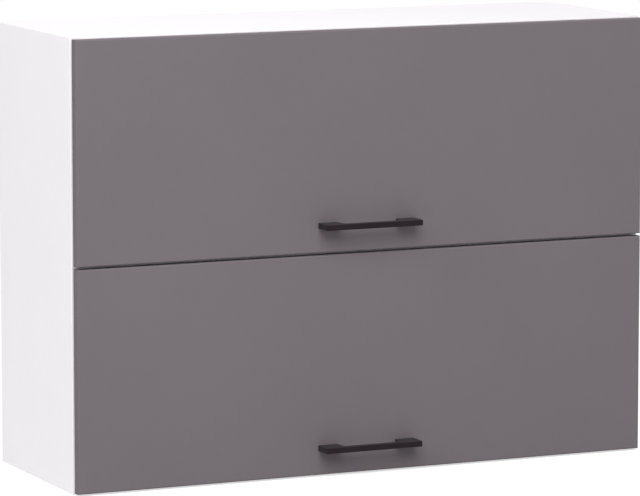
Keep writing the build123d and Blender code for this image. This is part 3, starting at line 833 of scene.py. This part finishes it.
@dataclass
class HingeCups:
    """The two pressed cups in a door's back, each with a screw flange, two lugs and the pin that they hold.

    A cup is made in a frame of its own, whose +Z leaves the door's back and whose +Y points down.
    """

    level: Level
    centre_drop: float = 20.5 * MM
    outer_radius: float = 17.2 * MM
    inner_radius: float = 16.6 * MM
    depth: float = 13 * MM
    floor: float = 0.8 * MM
    rim: float = 1.4 * MM
    rim_radius: float = 0.3 * MM
    wing_thickness: float = 1.1 * MM
    flange_reach: float = 30 * MM
    flange_low: float = -5.5 * MM
    flange_high: float = 13.5 * MM
    flange_corner: float = 5 * MM
    lug_gap: float = 5.5 * MM
    lug_half: float = 4.5 * MM
    lug_height: float = 6.5 * MM
    lug_radius: float = 0.5 * MM
    pin_row: float = -13 * MM
    pin_depth: float = 9 * MM
    pin_radius: float = 1.5 * MM
    pin_half: float = 9.4 * MM

    @property
    def inside(self) -> float:
        """Height of the floor of the bowl."""
        return self.floor - self.depth

    def places(self) -> list[Matrix]:
        """The moves of the two cups from their own frame."""
        turn, height = Matrix(((1, 0, 0), (0, 0, 1), (0, -1, 0))).to_4x4(), self.level.top - self.centre_drop
        return [Matrix.Translation((side * HINGE_X, DOOR_BACK, height)) @ turn for side in PAIR]

    def bowl(self) -> Shape:
        """The pressed bowl with a flat rolled rim.

        Returns:
            The bowl in the cup's frame.
        """
        inner, outer, rim = self.inner_radius, self.outer_radius, self.outer_radius + self.rim
        bottom, inside, top = -self.depth, self.inside, CUP_FLANGE
        profile = [
            (0.0, bottom), (outer - 2 * MM, bottom), (outer - 0.6 * MM, bottom + 0.5 * MM),
            (outer, bottom + 1.8 * MM), (outer, 0.0), (rim, 0.0), (rim, top - self.rim_radius),
            (rim - self.rim_radius, top), (inner + 0.5 * MM, top), (inner + 0.15 * MM, top - 0.15 * MM),
            (inner, top - 0.5 * MM), (inner, inside + 1.4 * MM), (inner - 0.4 * MM, inside + 0.5 * MM),
            (inner - 1.4 * MM, inside), (0.0, inside),
        ]
        return turned(profile, 72)

    def wing(self) -> Shape:
        """Half of the screw flange, from the rim out to a rounded end.

        Returns:
            The half on the cup's +X side.
        """
        shape = bmesh.new()
        bmesh.ops.create_circle(shape, cap_ends=False, radius=self.outer_radius + self.rim / 2, segments=144)
        cut(shape, Vector(), -X_AXIS, True)
        cut(shape, self.flange_low * Y_AXIS, -Y_AXIS, True)
        cut(shape, self.flange_high * Y_AXIS, Y_AXIS, True)
        corner = self.flange_corner
        for vertex in only(Vert, bmesh.ops.extrude_edge_only(shape, edges=shape.edges[:])["geom"]):
            to_end = min(vertex.co.y - self.flange_low, self.flange_high - vertex.co.y)
            bend = min(max(corner - to_end, 0.0), corner)
            vertex.co.x = self.flange_reach - corner + sqrt(corner**2 - bend**2)
        raised(shape, shape.faces[:], self.wing_thickness)
        bmesh.ops.recalc_face_normals(shape, faces=shape.faces)
        rims = [edge for edge in sharp_edges(shape, radians(60)) if self.on_rim(edge)]
        round_edges(shape, rims, self.rim_radius, 3)
        return shape

    def on_rim(self, edge: Edge) -> bool:
        """Whether an edge lies on the upper, outer edge of the flange."""
        return all(vertex.co.z > CUP_FLANGE / 2 and vertex.co.x > self.outer_radius for vertex in edge.verts)

    def lug(self) -> Shape:
        """Block on the cup's floor that holds one end of the pin, trimmed to the bowl.

        Returns:
            The lug on the cup's +X side.
        """
        reach = self.inner_radius + 0.3 * MM
        shape = block(
            Vector((self.lug_gap, self.pin_row - self.lug_half, self.inside)),
            Vector((self.outer_radius, self.pin_row + self.lug_half, self.inside + self.lug_height)),
        )
        top = [edge for edge in shape.edges if all(vertex.co.z > self.inside for vertex in edge.verts)]
        round_edges(shape, top, self.lug_radius, 3)
        for degrees in range(-72, -24, 4):
            angle = radians(degrees)
            normal = Vector((cos(angle), sin(angle), 0))
            bmesh.ops.holes_fill(shape, edges=cut(shape, normal * reach, normal, True), sides=0)
        bmesh.ops.recalc_face_normals(shape, faces=shape.faces)
        return shape

    def pin(self) -> Shape:
        """Riveted pin across the cup, with domed ends.

        Returns:
            The pin in the cup's frame.
        """
        half, radius = self.pin_half, self.pin_radius
        profile = mirrored([(radius, half - 0.5 * MM), (0.7 * radius, half - 0.1 * MM), (0.0, half)])
        return copies([turn_to(X_AXIS, y=self.pin_row, z=-self.pin_depth)], turned(profile, 28))

    def both_sides(self, shape: Shape) -> Shape:
        """Doubles a shape by its mirror image across the cup's middle.

        Args:
            shape: The shape, which is used up.

        Returns:
            Both in one.
        """
        pair = copies([Matrix(), Matrix.Scale(-1, 4, X_AXIS)], shape)
        bmesh.ops.recalc_face_normals(pair, faces=pair.faces)
        return pair

    def build(self) -> None:
        """Makes the cups and the pins."""
        name, body = self.level.label, self.level.body
        places = self.places()
        cups = copies(places, self.bowl(), self.both_sides(self.wing()), self.both_sides(self.lug()))
        piece(f"{name}_hinge_cups_pressed", cups, NICKEL, body, (f"{name}_hinge_cups",), 40.0)
        piece(f"{name}_hinge_pins_riveted", copies(places, self.pin()), ZINC, body, (f"{name}_hinge_pins",), 40.0)


@dataclass
class StrutPin:
    """Shouldered pin with a spring clip, that a strut's end eye turns on.

    Args:
        name: Name of the piece.
        body: The body that the bracket moves with.
        root: Middle of the pin's root, on the bracket.
        outward: Direction of the pin.
        reach: Length of the pin.
        end: How far it stands out past the eye.
        eye: Thickness of the eye.
    """

    name: str
    body: str
    root: Vector
    outward: Vector
    reach: float
    end: float
    eye: float
    radius: float = 4.02 * MM
    tip_chamfer: float = 0.5 * MM
    shoulder: float = 5.6 * MM
    shoulder_chamfer: float = 0.3 * MM
    play: float = 0.25 * MM
    clip_radius: float = 6.2 * MM
    clip_bore: float = 3.92 * MM
    clip_gauge: float = 0.7 * MM
    clip_edge: float = 0.2 * MM

    def pin(self) -> Shape:
        """The pin, from its wide foot up to its chamfered tip.

        Returns:
            The pin along +Z from its root.
        """
        foot, wide, edge = self.reach - self.end - self.eye - self.play, self.shoulder, self.shoulder_chamfer
        profile = [
            (0.0, 0.0), (wide, 0.0), (wide, foot - edge), (wide - edge, foot), (self.radius, foot),
            (self.radius, self.reach - self.tip_chamfer), (self.radius - self.tip_chamfer, self.reach),
            (0.0, self.reach),
        ]
        return turned(profile, 40)

    def clip(self) -> Shape:
        """The domed spring clip that keeps the eye on the pin.

        Returns:
            The clip at its place on that pin.
        """
        low, wide, edge, bore = self.reach - self.end + self.play, self.clip_radius, self.clip_edge, self.clip_bore
        profile = [
            (bore, low + 0.3 * MM), (wide - edge, low), (wide, low + edge), (wide - edge, low + 2 * edge),
            (self.radius + 0.6 * MM, low + self.clip_gauge), (bore, low + self.clip_gauge), (bore, low + 0.3 * MM),
        ]
        return turned(profile, 40)

    def build(self) -> None:
        """Makes the pin and its clip."""
        shape = copies([turn_to(self.outward, *self.root)], self.pin(), self.clip())
        piece(self.name, shape, ZINC, self.body, (), 40.0)


@dataclass
class Strut:
    """One gas strut: a painted cylinder and a bright rod, each with a moulded end eye on its pin."""

    level: Level
    side: Side
    lift_radius: float = 165 * MM
    pivot_y: float = -331.5 * MM
    carcass_pin_drop: float = 30 * MM
    door_pin_back: float = 24 * MM
    centre_x: float = 470 * MM
    tube_radius: float = 7.5 * MM
    rod_radius: float = 3 * MM
    seal_play: float = 0.1 * MM
    eye_to_tube: float = 14 * MM
    eye_gap: float = 0.2 * MM
    rod_end_margin: float = 4 * MM
    rod_start: float = 23 * MM
    rod_floor_margin: float = 3 * MM
    eye_radius: float = 7.5 * MM
    eye_hole: float = 4.06 * MM
    eye_edge: float = 0.6 * MM
    eye_thickness: float = 10 * MM
    neck_share: float = 0.8
    neck_radius: float = 1.6 * MM
    collar_radius: float = 6.8 * MM
    collar_height: float = 4 * MM
    plate_x: float = 482 * MM
    upright_x: float = 460 * MM
    pin_end: float = 1.7 * MM
    start: Vector = field(init=False)
    end: Vector = field(init=False)

    def __post_init__(self) -> None:
        """Works out the two pins that the strut runs between, with the door closed."""
        x = self.side.value * self.centre_x
        back = sqrt(self.lift_radius**2 - self.carcass_pin_drop**2)
        drop = sqrt(self.lift_radius**2 - self.door_pin_back**2)
        self.start = Vector((x, self.pivot_y + back, self.level.pivot - self.carcass_pin_drop))
        self.end = Vector((x, self.pivot_y + self.door_pin_back, self.level.pivot - drop))

    @property
    def length(self) -> float:
        """Distance between the pins."""
        return (self.end - self.start).length

    def frame_at(self, point: Vector, way: int) -> Matrix:
        """The move that takes +Z along the strut and +X across it.

        Args:
            point: The pin that the origin goes to.
            way: One for +Z from the carcass to the door, and minus one for the other way.

        Returns:
            The move.
        """
        along = (self.end - self.start).normalized() * way
        turn = Matrix((X_AXIS, along.cross(X_AXIS), along)).transposed().to_4x4()
        return Matrix.Translation(point) @ turn

    def eye(self) -> Shape:
        """Moulded end with its eye at the origin, across X, and a neck and collar up the Z axis.

        Returns:
            The end.
        """
        hole, radius, edge, half = self.eye_hole, self.eye_radius, self.eye_edge, self.eye_thickness / 2
        profile = mirrored([(radius, half - edge), (radius - edge, half), (hole + edge, half), (hole, half - edge)])
        ring = copies([turn_to(X_AXIS)], turned(profile + profile[:1], 40))
        reach = self.eye_to_tube - self.eye_gap
        wide = self.neck_share * radius
        low, high = sqrt(radius**2 - wide**2), reach - self.rod_floor_margin
        neck = block(Vector((-half, -wide, low)), Vector((half, wide, high)))
        round_edges(neck, edges_along(neck, Z_AXIS), self.neck_radius, 4)
        wide, low = self.collar_radius, reach - self.collar_height
        collar = [(0.0, low), (wide - edge, low), (wide, low + edge), (wide, reach - 0.4 * MM)]
        return copies([Matrix()], ring, neck, turned(collar + [(wide - 0.4 * MM, reach), (0.0, reach)], 40))

    def cylinder(self) -> Shape:
        """Drawn tube, rolled in at both ends and once near the rod, with a seal round the rod.

        Returns:
            The tube along +Z from the carcass pin.
        """
        low, end = self.eye_to_tube, self.length - self.eye_to_tube - self.rod_end_margin
        radius, bore = self.tube_radius, self.rod_radius + self.seal_play
        waist, floor = radius - 0.5 * MM, self.rod_start - self.rod_floor_margin
        profile = [
            (0.0, low), (radius - 2 * MM, low), (radius - 0.8 * MM, low + 0.4 * MM), (radius, low + 1.6 * MM),
            (radius, end - 14 * MM), (waist, end - 13 * MM), (waist, end - 12 * MM), (radius, end - 11 * MM),
            (radius, end - 2 * MM), (radius - 0.9 * MM, end - 0.5 * MM), (radius - 2.2 * MM, end),
            (bore, end), (bore, floor), (0.0, floor),
        ]
        return turned(profile, 48)

    def rod(self) -> Shape:
        """Polished rod."""
        low, end, radius = self.rod_start, self.length - self.eye_to_tube, self.rod_radius
        return turned([(0.0, low), (radius, low), (radius, end), (0.0, end)], 32)

    def build(self) -> None:
        """Makes the cylinder, the rod, their two end eyes and the pins that these turn on."""
        prefix = f"{self.level.label}_{self.side.label}_strut"
        forward, backward = self.frame_at(self.start, 1), self.frame_at(self.end, -1)
        for name, shape, move, finish, body, nodes, smooth in (
            ("tube", self.cylinder(), forward, TUBE_PAINT, "tube", (f"{prefix}_cylinder",), 50.0),
            ("tube_eye", self.eye(), forward, BLACK_NYLON, "tube", (), 40.0),
            ("bar", self.rod(), forward, CHROME, "piston", (f"{prefix}_rod",), 50.0),
            ("rod_eye", self.eye(), backward, BLACK_NYLON, "piston", (), 40.0),
        ):
            piece(f"{prefix}_{name}", copies([move], shape), finish, f"{prefix}_{body}", nodes, smooth)
        self.pin(f"{prefix}_carcass_pin", "root", self.start, self.plate_x, -self.side.outward)
        self.pin(f"{prefix}_door_pin", self.level.body, self.end, self.upright_x, self.side.outward)

    def pin(self, name: str, body: str, at: Vector, root_x: float, outward: Vector) -> None:
        """Makes the pin that one end turns on, from its bracket past the far side of the eye.

        Args:
            name: Name of the piece.
            body: The body that the bracket moves with.
            at: Middle of the eye.
            root_x: Distance of the bracket from the cabinet's middle.
            outward: Direction of the pin.
        """
        reach = abs(root_x - self.centre_x) + self.eye_thickness / 2 + self.pin_end
        root = Vector((self.side.value * root_x, at.y, at.z))
        StrutPin(name, body, root, outward, reach, self.pin_end, self.eye_thickness).build()


def sink_cross(shape: Shape, height: float, reach: float, depth: float) -> None:
    """Sinks a cross recess in the flat face at a height, round the Z axis.

    Args:
        shape: The shape with the flat face.
        height: Height of the face.
        reach: Half the width across the recess.
        depth: Depth of the recess.
    """
    arm, taper = 0.3 * reach, 0.6
    for normal in (X_AXIS, Y_AXIS):
        for offset in (-reach, -arm, arm, reach):
            cut(shape, normal * offset, normal, False)
    chosen = []
    for face in shape.faces:
        middle = face.calc_center_median()
        near, far = sorted((abs(middle.x), abs(middle.y)))
        if abs(middle.z - height) < 0.001 * MM and near < arm and far < reach:
            chosen.append(face)
    floor = only(Vert, raised(shape, chosen, -depth))
    bmesh.ops.delete(shape, geom=chosen, context="FACES")
    bmesh.ops.scale(shape, vec=(taper, taper, 1.0), verts=floor)


def headed(crown: float, height: float, cross: float, depth: float, outline: Profile, steps: int) -> Shape:
    """A round piece with a cross recess in its flat crown, which faces +Z.

    Args:
        crown: Radius of the crown.
        height: Height of the crown.
        cross: Half the width across the recess.
        depth: Depth of the recess.
        outline: Radius and height of each further ring, down to the last, which is closed.
        steps: Flats round the piece.

    Returns:
        The piece.
    """
    shape = bmesh.new()
    bmesh.ops.create_circle(shape, cap_ends=True, radius=crown, segments=steps)
    bmesh.ops.translate(shape, vec=(0, 0, height), verts=shape.verts)
    sink_cross(shape, height, cross, depth)
    edges = [edge for edge in shape.edges if edge.is_boundary]
    radius = crown
    for next_radius, next_height in outline:
        drawn = bmesh.ops.extrude_edge_only(shape, edges=edges)["geom"]
        ring = only(Vert, drawn)
        edges = [edge for edge in only(Edge, drawn) if edge.is_boundary]
        share = next_radius / radius
        bmesh.ops.scale(shape, vec=(share, share, 1.0), verts=ring)
        bmesh.ops.translate(shape, vec=(0, 0, next_height - height), verts=ring)
        radius, height = next_radius, next_height
    bmesh.ops.holes_fill(shape, edges=edges, sides=0)
    bmesh.ops.recalc_face_normals(shape, faces=shape.faces)
    return shape


@dataclass
class Screws:
    """One node of like screws, each with a domed head and a cross recess.

    Args:
        node: The node that they stand for.
        body: The body that they move with.
        moves: The move of each screw, to where its head rests.
        head: Radius and height of the head.
        shank: Radius and length of the shank.
    """

    node: str
    body: str
    moves: list[Matrix]
    head: tuple[float, float]
    shank: tuple[float, float]

    def screw(self) -> Shape:
        """One screw, whose seat is at the origin and whose head faces +Z.

        Returns:
            The screw.
        """
        (radius, height), (shank, length) = self.head, self.shank
        outline = [
            (0.9 * radius, 0.82 * height), (0.98 * radius, 0.55 * height), (radius, 0.2 * height),
            (0.98 * radius, 0.0), (shank, 0.0), (shank, -0.75 * length), (0.35 * shank, -length),
        ]
        return headed(0.72 * radius, height, 0.5 * radius, 0.8 * height, outline, 28)

    def build(self) -> None:
        """Makes the screws."""
        piece(f"{self.node}_driven", copies(self.moves, self.screw()), ZINC, self.body, (self.node,), 30.0)


@dataclass
class Fixings:
    """All the screws that show when a door is lifted, by the fitting that they hold."""

    wood_head: tuple[float, float] = (3.6 * MM, 1.4 * MM)
    wood_shank: float = 1.5 * MM
    wood_length: float = 12 * MM
    cup_screw_reach: float = 24 * MM
    cup_screw_drop: float = 26.5 * MM
    plate_y: float = -283 * MM
    plate_screw_reach: float = 16 * MM
    plate: float = 2 * MM
    arm_drop: float = 13.5 * MM
    arm_floor: float = 2 * MM
    arm_screw_reach: float = 14 * MM
    machine_head: tuple[float, float] = (3.5 * MM, 1.6 * MM)
    machine_shank: tuple[float, float] = (1.9 * MM, 5 * MM)
    bracket: float = 2 * MM
    bracket_screw_reach: float = 15 * MM
    carcass_pin_y: float = -169.25 * MM
    carcass_pin_z: float = -30 * MM
    door_pin_z: float = -163.245 * MM
    door_foot_x: float = 469 * MM
    handle_screw_x: float = 64 * MM
    handle_head: tuple[float, float] = (4.2 * MM, 2.4 * MM)
    handle_shank: tuple[float, float] = (1.7 * MM, 26 * MM)

    def wood(self, node: str, body: str, moves: list[Matrix], grip: float) -> Screws:
        """Wood screws that clamp a fitting of the given thickness."""
        return Screws(node, body, moves, self.wood_head, (self.wood_shank, grip + self.wood_length))

    def on_door(self, level: Level) -> list[Screws]:
        """Screws in one door, whose heads face the inside.

        Args:
            level: The door.

        Returns:
            The screws of its cups, strut brackets and handle.
        """
        cups, feet, handles = [], [], []
        cup_y, foot_y = DOOR_BACK + CUP_FLANGE, DOOR_BACK + self.bracket
        for side in PAIR:
            handles.append(turn_to(Y_AXIS, side * self.handle_screw_x, DOOR_BACK, level.bottom + HANDLE_RISE))
            for step in PAIR:
                x = side * HINGE_X + step * self.cup_screw_reach
                cups.append(turn_to(Y_AXIS, x, cup_y, level.top - self.cup_screw_drop))
                z = level.pivot + self.door_pin_z + step * self.bracket_screw_reach
                feet.append(turn_to(Y_AXIS, side * self.door_foot_x, foot_y, z))
        name, body = level.label, level.body
        return [
            self.wood(f"{name}_hinge_cup_screws", body, cups, CUP_FLANGE),
            self.wood(f"{name}_door_bracket_screws", body, feet, self.bracket),
            Screws(f"{name}_handle_screws", body, handles, self.handle_head, self.handle_shank),
        ]

    def on_carcass(self) -> list[Screws]:
        """Screws in the carcass, for both doors.

        Returns:
            The screws of the mounting plates, hinge arms and strut brackets.
        """
        plates, arms, brackets, down = [], [], [], -Z_AXIS
        for level in Level:
            arm_z = level.pivot - self.arm_drop - self.arm_floor
            for side in Side:
                hinge_x, bracket_x = side.value * HINGE_X, side.value * (INNER_HALF - self.bracket)
                for step in PAIR:
                    plate_x = hinge_x + step * self.plate_screw_reach
                    plates.append(turn_to(down, plate_x, self.plate_y, level.ceiling - self.plate))
                    arms.append(turn_to(down, hinge_x, self.plate_y + step * self.arm_screw_reach, arm_z))
                    bracket_z = level.pivot + self.carcass_pin_z + step * self.bracket_screw_reach
                    brackets.append(turn_to(-side.outward, bracket_x, self.carcass_pin_y, bracket_z))
        return [
            self.wood("hinge_plate_screws", "root", plates, self.plate),
            Screws("hinge_arm_screws", "root", arms, self.machine_head, self.machine_shank),
            self.wood("carcass_bracket_screws", "root", brackets, self.bracket),
        ]

    def build(self) -> None:
        """Makes every screw."""
        for screws in [*self.on_door(Level.UPPER), *self.on_door(Level.LOWER), *self.on_carcass()]:
            screws.build()


@dataclass
class BoardJoints:
    """Cam nuts, cam bolts and fluted dowels between the side panels and the three boards.

    Each nut is sunk in the free face of its board, with a cross recess.
    """

    nut_radius: float = 7.1 * MM
    nut_waist: float = 6.2 * MM
    nut_depth: float = 12.5 * MM
    nut_recess: float = 4.2 * MM
    nut_recess_depth: float = 2.5 * MM
    nut_x: float = 460 * MM
    nut_faces: tuple[tuple[float, int], ...] = ((704 * MM, -1), (352 * MM, -1), (16 * MM, 1))
    middles: tuple[float, ...] = (712 * MM, 360 * MM, 8 * MM)
    bolt_tip: float = 457 * MM
    bolt_radius: float = 2.4 * MM
    bolt_head: float = 3.2 * MM
    bolt_neck_share: float = 0.55
    thread_pitch: float = 1.8 * MM
    thread_depth: float = 0.5 * MM
    thread_length: float = 11 * MM
    dowel_y: float = -238 * MM
    dowel_radius: float = 3.95 * MM
    dowel_length: float = 30 * MM
    dowel_taper: float = 1.5 * MM
    dowel_tip_share: float = 0.8
    dowel_in_side: float = 11 * MM
    flutes: int = 20
    flute_share: float = 0.93

    def nut(self) -> Shape:
        """Cam nut whose face is at the origin and looks along +Z.

        Returns:
            The nut.
        """
        radius, waist = self.nut_radius, self.nut_waist
        outline = [(radius - 0.1 * MM, -0.1 * MM), (radius, -0.4 * MM), (radius, -2.5 * MM)]
        outline += [(waist, -2.7 * MM), (waist, -self.nut_depth)]
        return headed(radius - 0.4 * MM, 0.0, self.nut_recess, self.nut_recess_depth, outline, 36)

    def bolt(self) -> Shape:
        """Bolt with its head at the origin and its threaded end up the Z axis.

        Returns:
            The bolt.
        """
        radius, head, neck = self.bolt_radius, self.bolt_head, self.bolt_neck_share * self.bolt_head
        core, pitch = radius - self.thread_depth, self.thread_pitch
        length = INNER_HALF + self.thread_length - self.bolt_tip
        profile = [
            (0.0, 0.0), (head - 0.5 * MM, 0.0), (head, 0.5 * MM), (head, 1.6 * MM), (neck, 2.0 * MM),
            (neck, 4.4 * MM), (head, 4.8 * MM), (head, 6.0 * MM), (radius, 6.2 * MM),
        ]
        for turn in range(int(self.thread_length / pitch) - 1):
            start = length - self.thread_length + turn * pitch
            profile += [(radius, start), (core, start + 0.3 * pitch)]
            profile += [(core, start + 0.5 * pitch), (radius, start + 0.8 * pitch)]
        profile += [(core, length - 0.6 * MM), (0.5 * radius, length), (0.0, length)]
        return turned(profile, 24)

    def dowel(self) -> Shape:
        """Dowel with pressed flutes and tapered ends, along the Z axis from the origin.

        Returns:
            The dowel.
        """
        shape = bmesh.new()
        bmesh.ops.create_circle(shape, cap_ends=True, radius=self.dowel_radius, segments=2 * self.flutes)
        rim = sorted(shape.verts, key=lambda vertex: atan2(vertex.co.y, vertex.co.x))
        bmesh.ops.scale(shape, vec=(self.flute_share, self.flute_share, 1.0), verts=rim[::2])
        bmesh.ops.scale(shape, vec=(self.dowel_tip_share, self.dowel_tip_share, 1.0), verts=shape.verts)
        ends, passed = shape.faces[:], []
        middle = self.dowel_length - 2 * self.dowel_taper
        tapers = (1 / self.dowel_tip_share, 1.0, self.dowel_tip_share)
        for height, share in zip((self.dowel_taper, middle, self.dowel_taper), tapers):
            drawn = raised(shape, ends, height)
            bmesh.ops.scale(shape, vec=(share, share, 1.0), verts=only(Vert, drawn))
            bmesh.ops.delete(shape, geom=passed, context="FACES_ONLY")
            ends = passed = only(Face, drawn)
        bmesh.ops.recalc_face_normals(shape, faces=shape.faces)
        return shape

    def build(self) -> None:
        """Makes the twelve nuts, the twelve bolts and the six dowels."""
        nuts = [
            turn_to(out * Z_AXIS, side * self.nut_x, y, z)
            for z, out in self.nut_faces
            for side in PAIR
            for y in CAM_ROWS
        ]
        bolts, dowels = [], []
        start = INNER_HALF + self.dowel_in_side - self.dowel_length
        for z in self.middles:
            for side in Side:
                bolts += [turn_to(side.outward, side.value * self.bolt_tip, y, z) for y in CAM_ROWS]
                dowels.append(turn_to(side.outward, side.value * start, self.dowel_y, z))
        piece("cam_nuts_cast", copies(nuts, self.nut()), CASTING, "root", ("cam_nuts",), 30.0)
        piece("cam_bolts_threaded", copies(bolts, self.bolt()), ZINC, "root", ("cam_bolts",), 30.0)
        piece("wood_dowels_fluted", copies(dowels, self.dowel()), BEECH, "root", ("wood_dowels",), 20.0)


@dataclass
class Bumpers:
    """Domed soft pads at a door's lower corners, whose dome is in shares of their radius and height."""

    level: Level
    radius: float = 4 * MM
    height: float = 2.2 * MM
    inset_x: float = 490 * MM
    rise: float = 10 * MM
    dome: tuple[tuple[float, float], ...] = (
        (0.0, 0.0), (0.86, 0.0), (1.0, 0.1), (0.98, 0.35), (0.88, 0.66), (0.68, 0.88), (0.35, 0.98), (0.0, 1.0),
    )

    def build(self) -> None:
        """Makes the two pads."""
        shape = turned([(across * self.radius, up * self.height) for across, up in self.dome], 28)
        z = self.level.bottom + self.rise
        moves = [turn_to(Y_AXIS, side * self.inset_x, DOOR_BACK, z) for side in PAIR]
        node = f"{self.level.label}_door_bumpers"
        piece(f"{node}_domed", copies(moves, shape), RUBBER, self.level.body, (node,), 40.0)


@dataclass
class Studio:
    """Camera, soft light, pale floor and white surroundings.

    Each lamp is given by its name, place, size and power.
    """

    camera_place: Point = (-2.9838171, -6.7534007, 1.3314011)
    camera_yaw: float = 24.3399
    camera_pitch: float = -7.7743
    lens: float = 250.436
    sensor: float = 36.0
    air: float = 0.45
    lamps: tuple[tuple[str, Point, float, float], ...] = (
        ("key_lamp", (-1.5, -4.6, 4.4), 4.0, 280.0),
        ("top_lamp", (0.3, 0.2, 4.4), 2.5, 10.0),
        ("side_lamp", (-4.3, -1.2, 3.4), 2.0, 84.0),
    )
    aim: Point = (0, -0.16, 0.36)
    floor_z: float = -1 * MM
    floor_half: float = 4.0
    floor_grey: float = 0.6
    floor_roughness: float = 0.9
    floor_specular: float = 0.1
    floor_glow: float = 0.62

    def camera(self) -> None:
        """Sets the camera at the photograph's angle."""
        data = bpy.data.cameras.new("camera")
        data.lens = self.lens
        data.sensor_width = self.sensor
        data.sensor_fit = "HORIZONTAL"
        camera = shown("camera", data)
        camera.location = self.camera_place
        camera.rotation_euler = (radians(90 + self.camera_pitch), 0, radians(-self.camera_yaw))
        bpy.context.scene.camera = camera

    def lamp(self, name: str, place: Point, size: float, power: float) -> None:
        """Hangs a square soft lamp that faces the cabinet's middle.

        Args:
            name: Name of the lamp.
            place: Where it hangs.
            size: Length of its side.
            power: Its power in watts.
        """
        data = bpy.data.lights.new(name, "AREA")
        data.shape = "SQUARE"
        data.size = size
        data.energy = power
        lamp = shown(name, data)
        lamp.location = place
        lamp.rotation_euler = (Vector(self.aim) - Vector(place)).to_track_quat("-Z", "Y").to_euler()

    def surroundings(self) -> None:
        """White to the eye and in reflections, and an even soft light everywhere else."""
        world = bpy.data.worlds.new("studio_air")
        bpy.context.scene.world = world
        world.use_nodes = True
        world.node_tree.nodes.clear()
        graph = Graph(world.node_tree)
        white = {"Color": (1.0, 1.0, 1.0)}
        light = graph.add("ShaderNodeBackground", {**white, "Strength": self.air}).outputs[0]
        seen = graph.add("ShaderNodeBackground", white).outputs[0]
        mixer = graph.add("ShaderNodeMixShader", {0: self.rays_that_see(graph), 1: light, 2: seen})
        graph.add("ShaderNodeOutputWorld", {0: mixer.outputs[0]})

    def rays_that_see(self, graph: Graph) -> Socket:
        """One for a ray from the camera, a mirror or glass, and nought for light.

        Args:
            graph: The tree that asks.

        Returns:
            The number.
        """
        path = graph.add("ShaderNodeLightPath").outputs
        mirrors = graph.sum("MAXIMUM", path["Is Glossy Ray"], path["Is Transmission Ray"])
        return graph.sum("MAXIMUM", path["Is Camera Ray"], mirrors)

    def floor(self) -> None:
        """Lays a pale floor that keeps the cabinet's soft shadow."""
        shape = bmesh.new()
        bmesh.ops.create_grid(shape, x_segments=1, y_segments=1, size=self.floor_half)
        bmesh.ops.translate(shape, vec=(0, 0, self.floor_z), verts=shape.verts)
        floor = shown("floor", mesh_of(shape, "floor"))
        material = bpy.data.materials.new("pale_floor")
        material.use_nodes = True
        graph = Graph(material.node_tree)
        inputs = {
            "Base Color": (self.floor_grey,) * 3,
            "Roughness": self.floor_roughness,
            "Specular IOR Level": self.floor_specular,
            "Emission Color": (1.0, 1.0, 1.0),
            "Emission Strength": graph.ramp(self.rays_that_see(graph), 0.0, 1.0, 0.0, self.floor_glow),
        }
        graph.fill(material.node_tree.nodes["Principled BSDF"], inputs)
        floor.data.materials.append(material)

    def build(self) -> None:
        """Sets up everything round the cabinet."""
        self.camera()
        self.surroundings()
        for lamp in self.lamps:
            self.lamp(*lamp)
        self.floor()
        bpy.context.scene.view_settings.view_transform = "Standard"
        LOG.info("studio ready")


def main() -> None:
    """Builds the cabinet's looks, piece by piece."""
    logging.basicConfig(level=logging.INFO, format="%(name)s: %(message)s")
    Studio().build()
    Carcass().build()
    Fittings().build()
    for level in Level:
        Door(level).build()
        HingeCups(level).build()
        Bumpers(level).build()
        for side in Side:
            Strut(level, side).build()
    Fixings().build()
    BoardJoints().build()


if __name__ == "__main__":
    main()
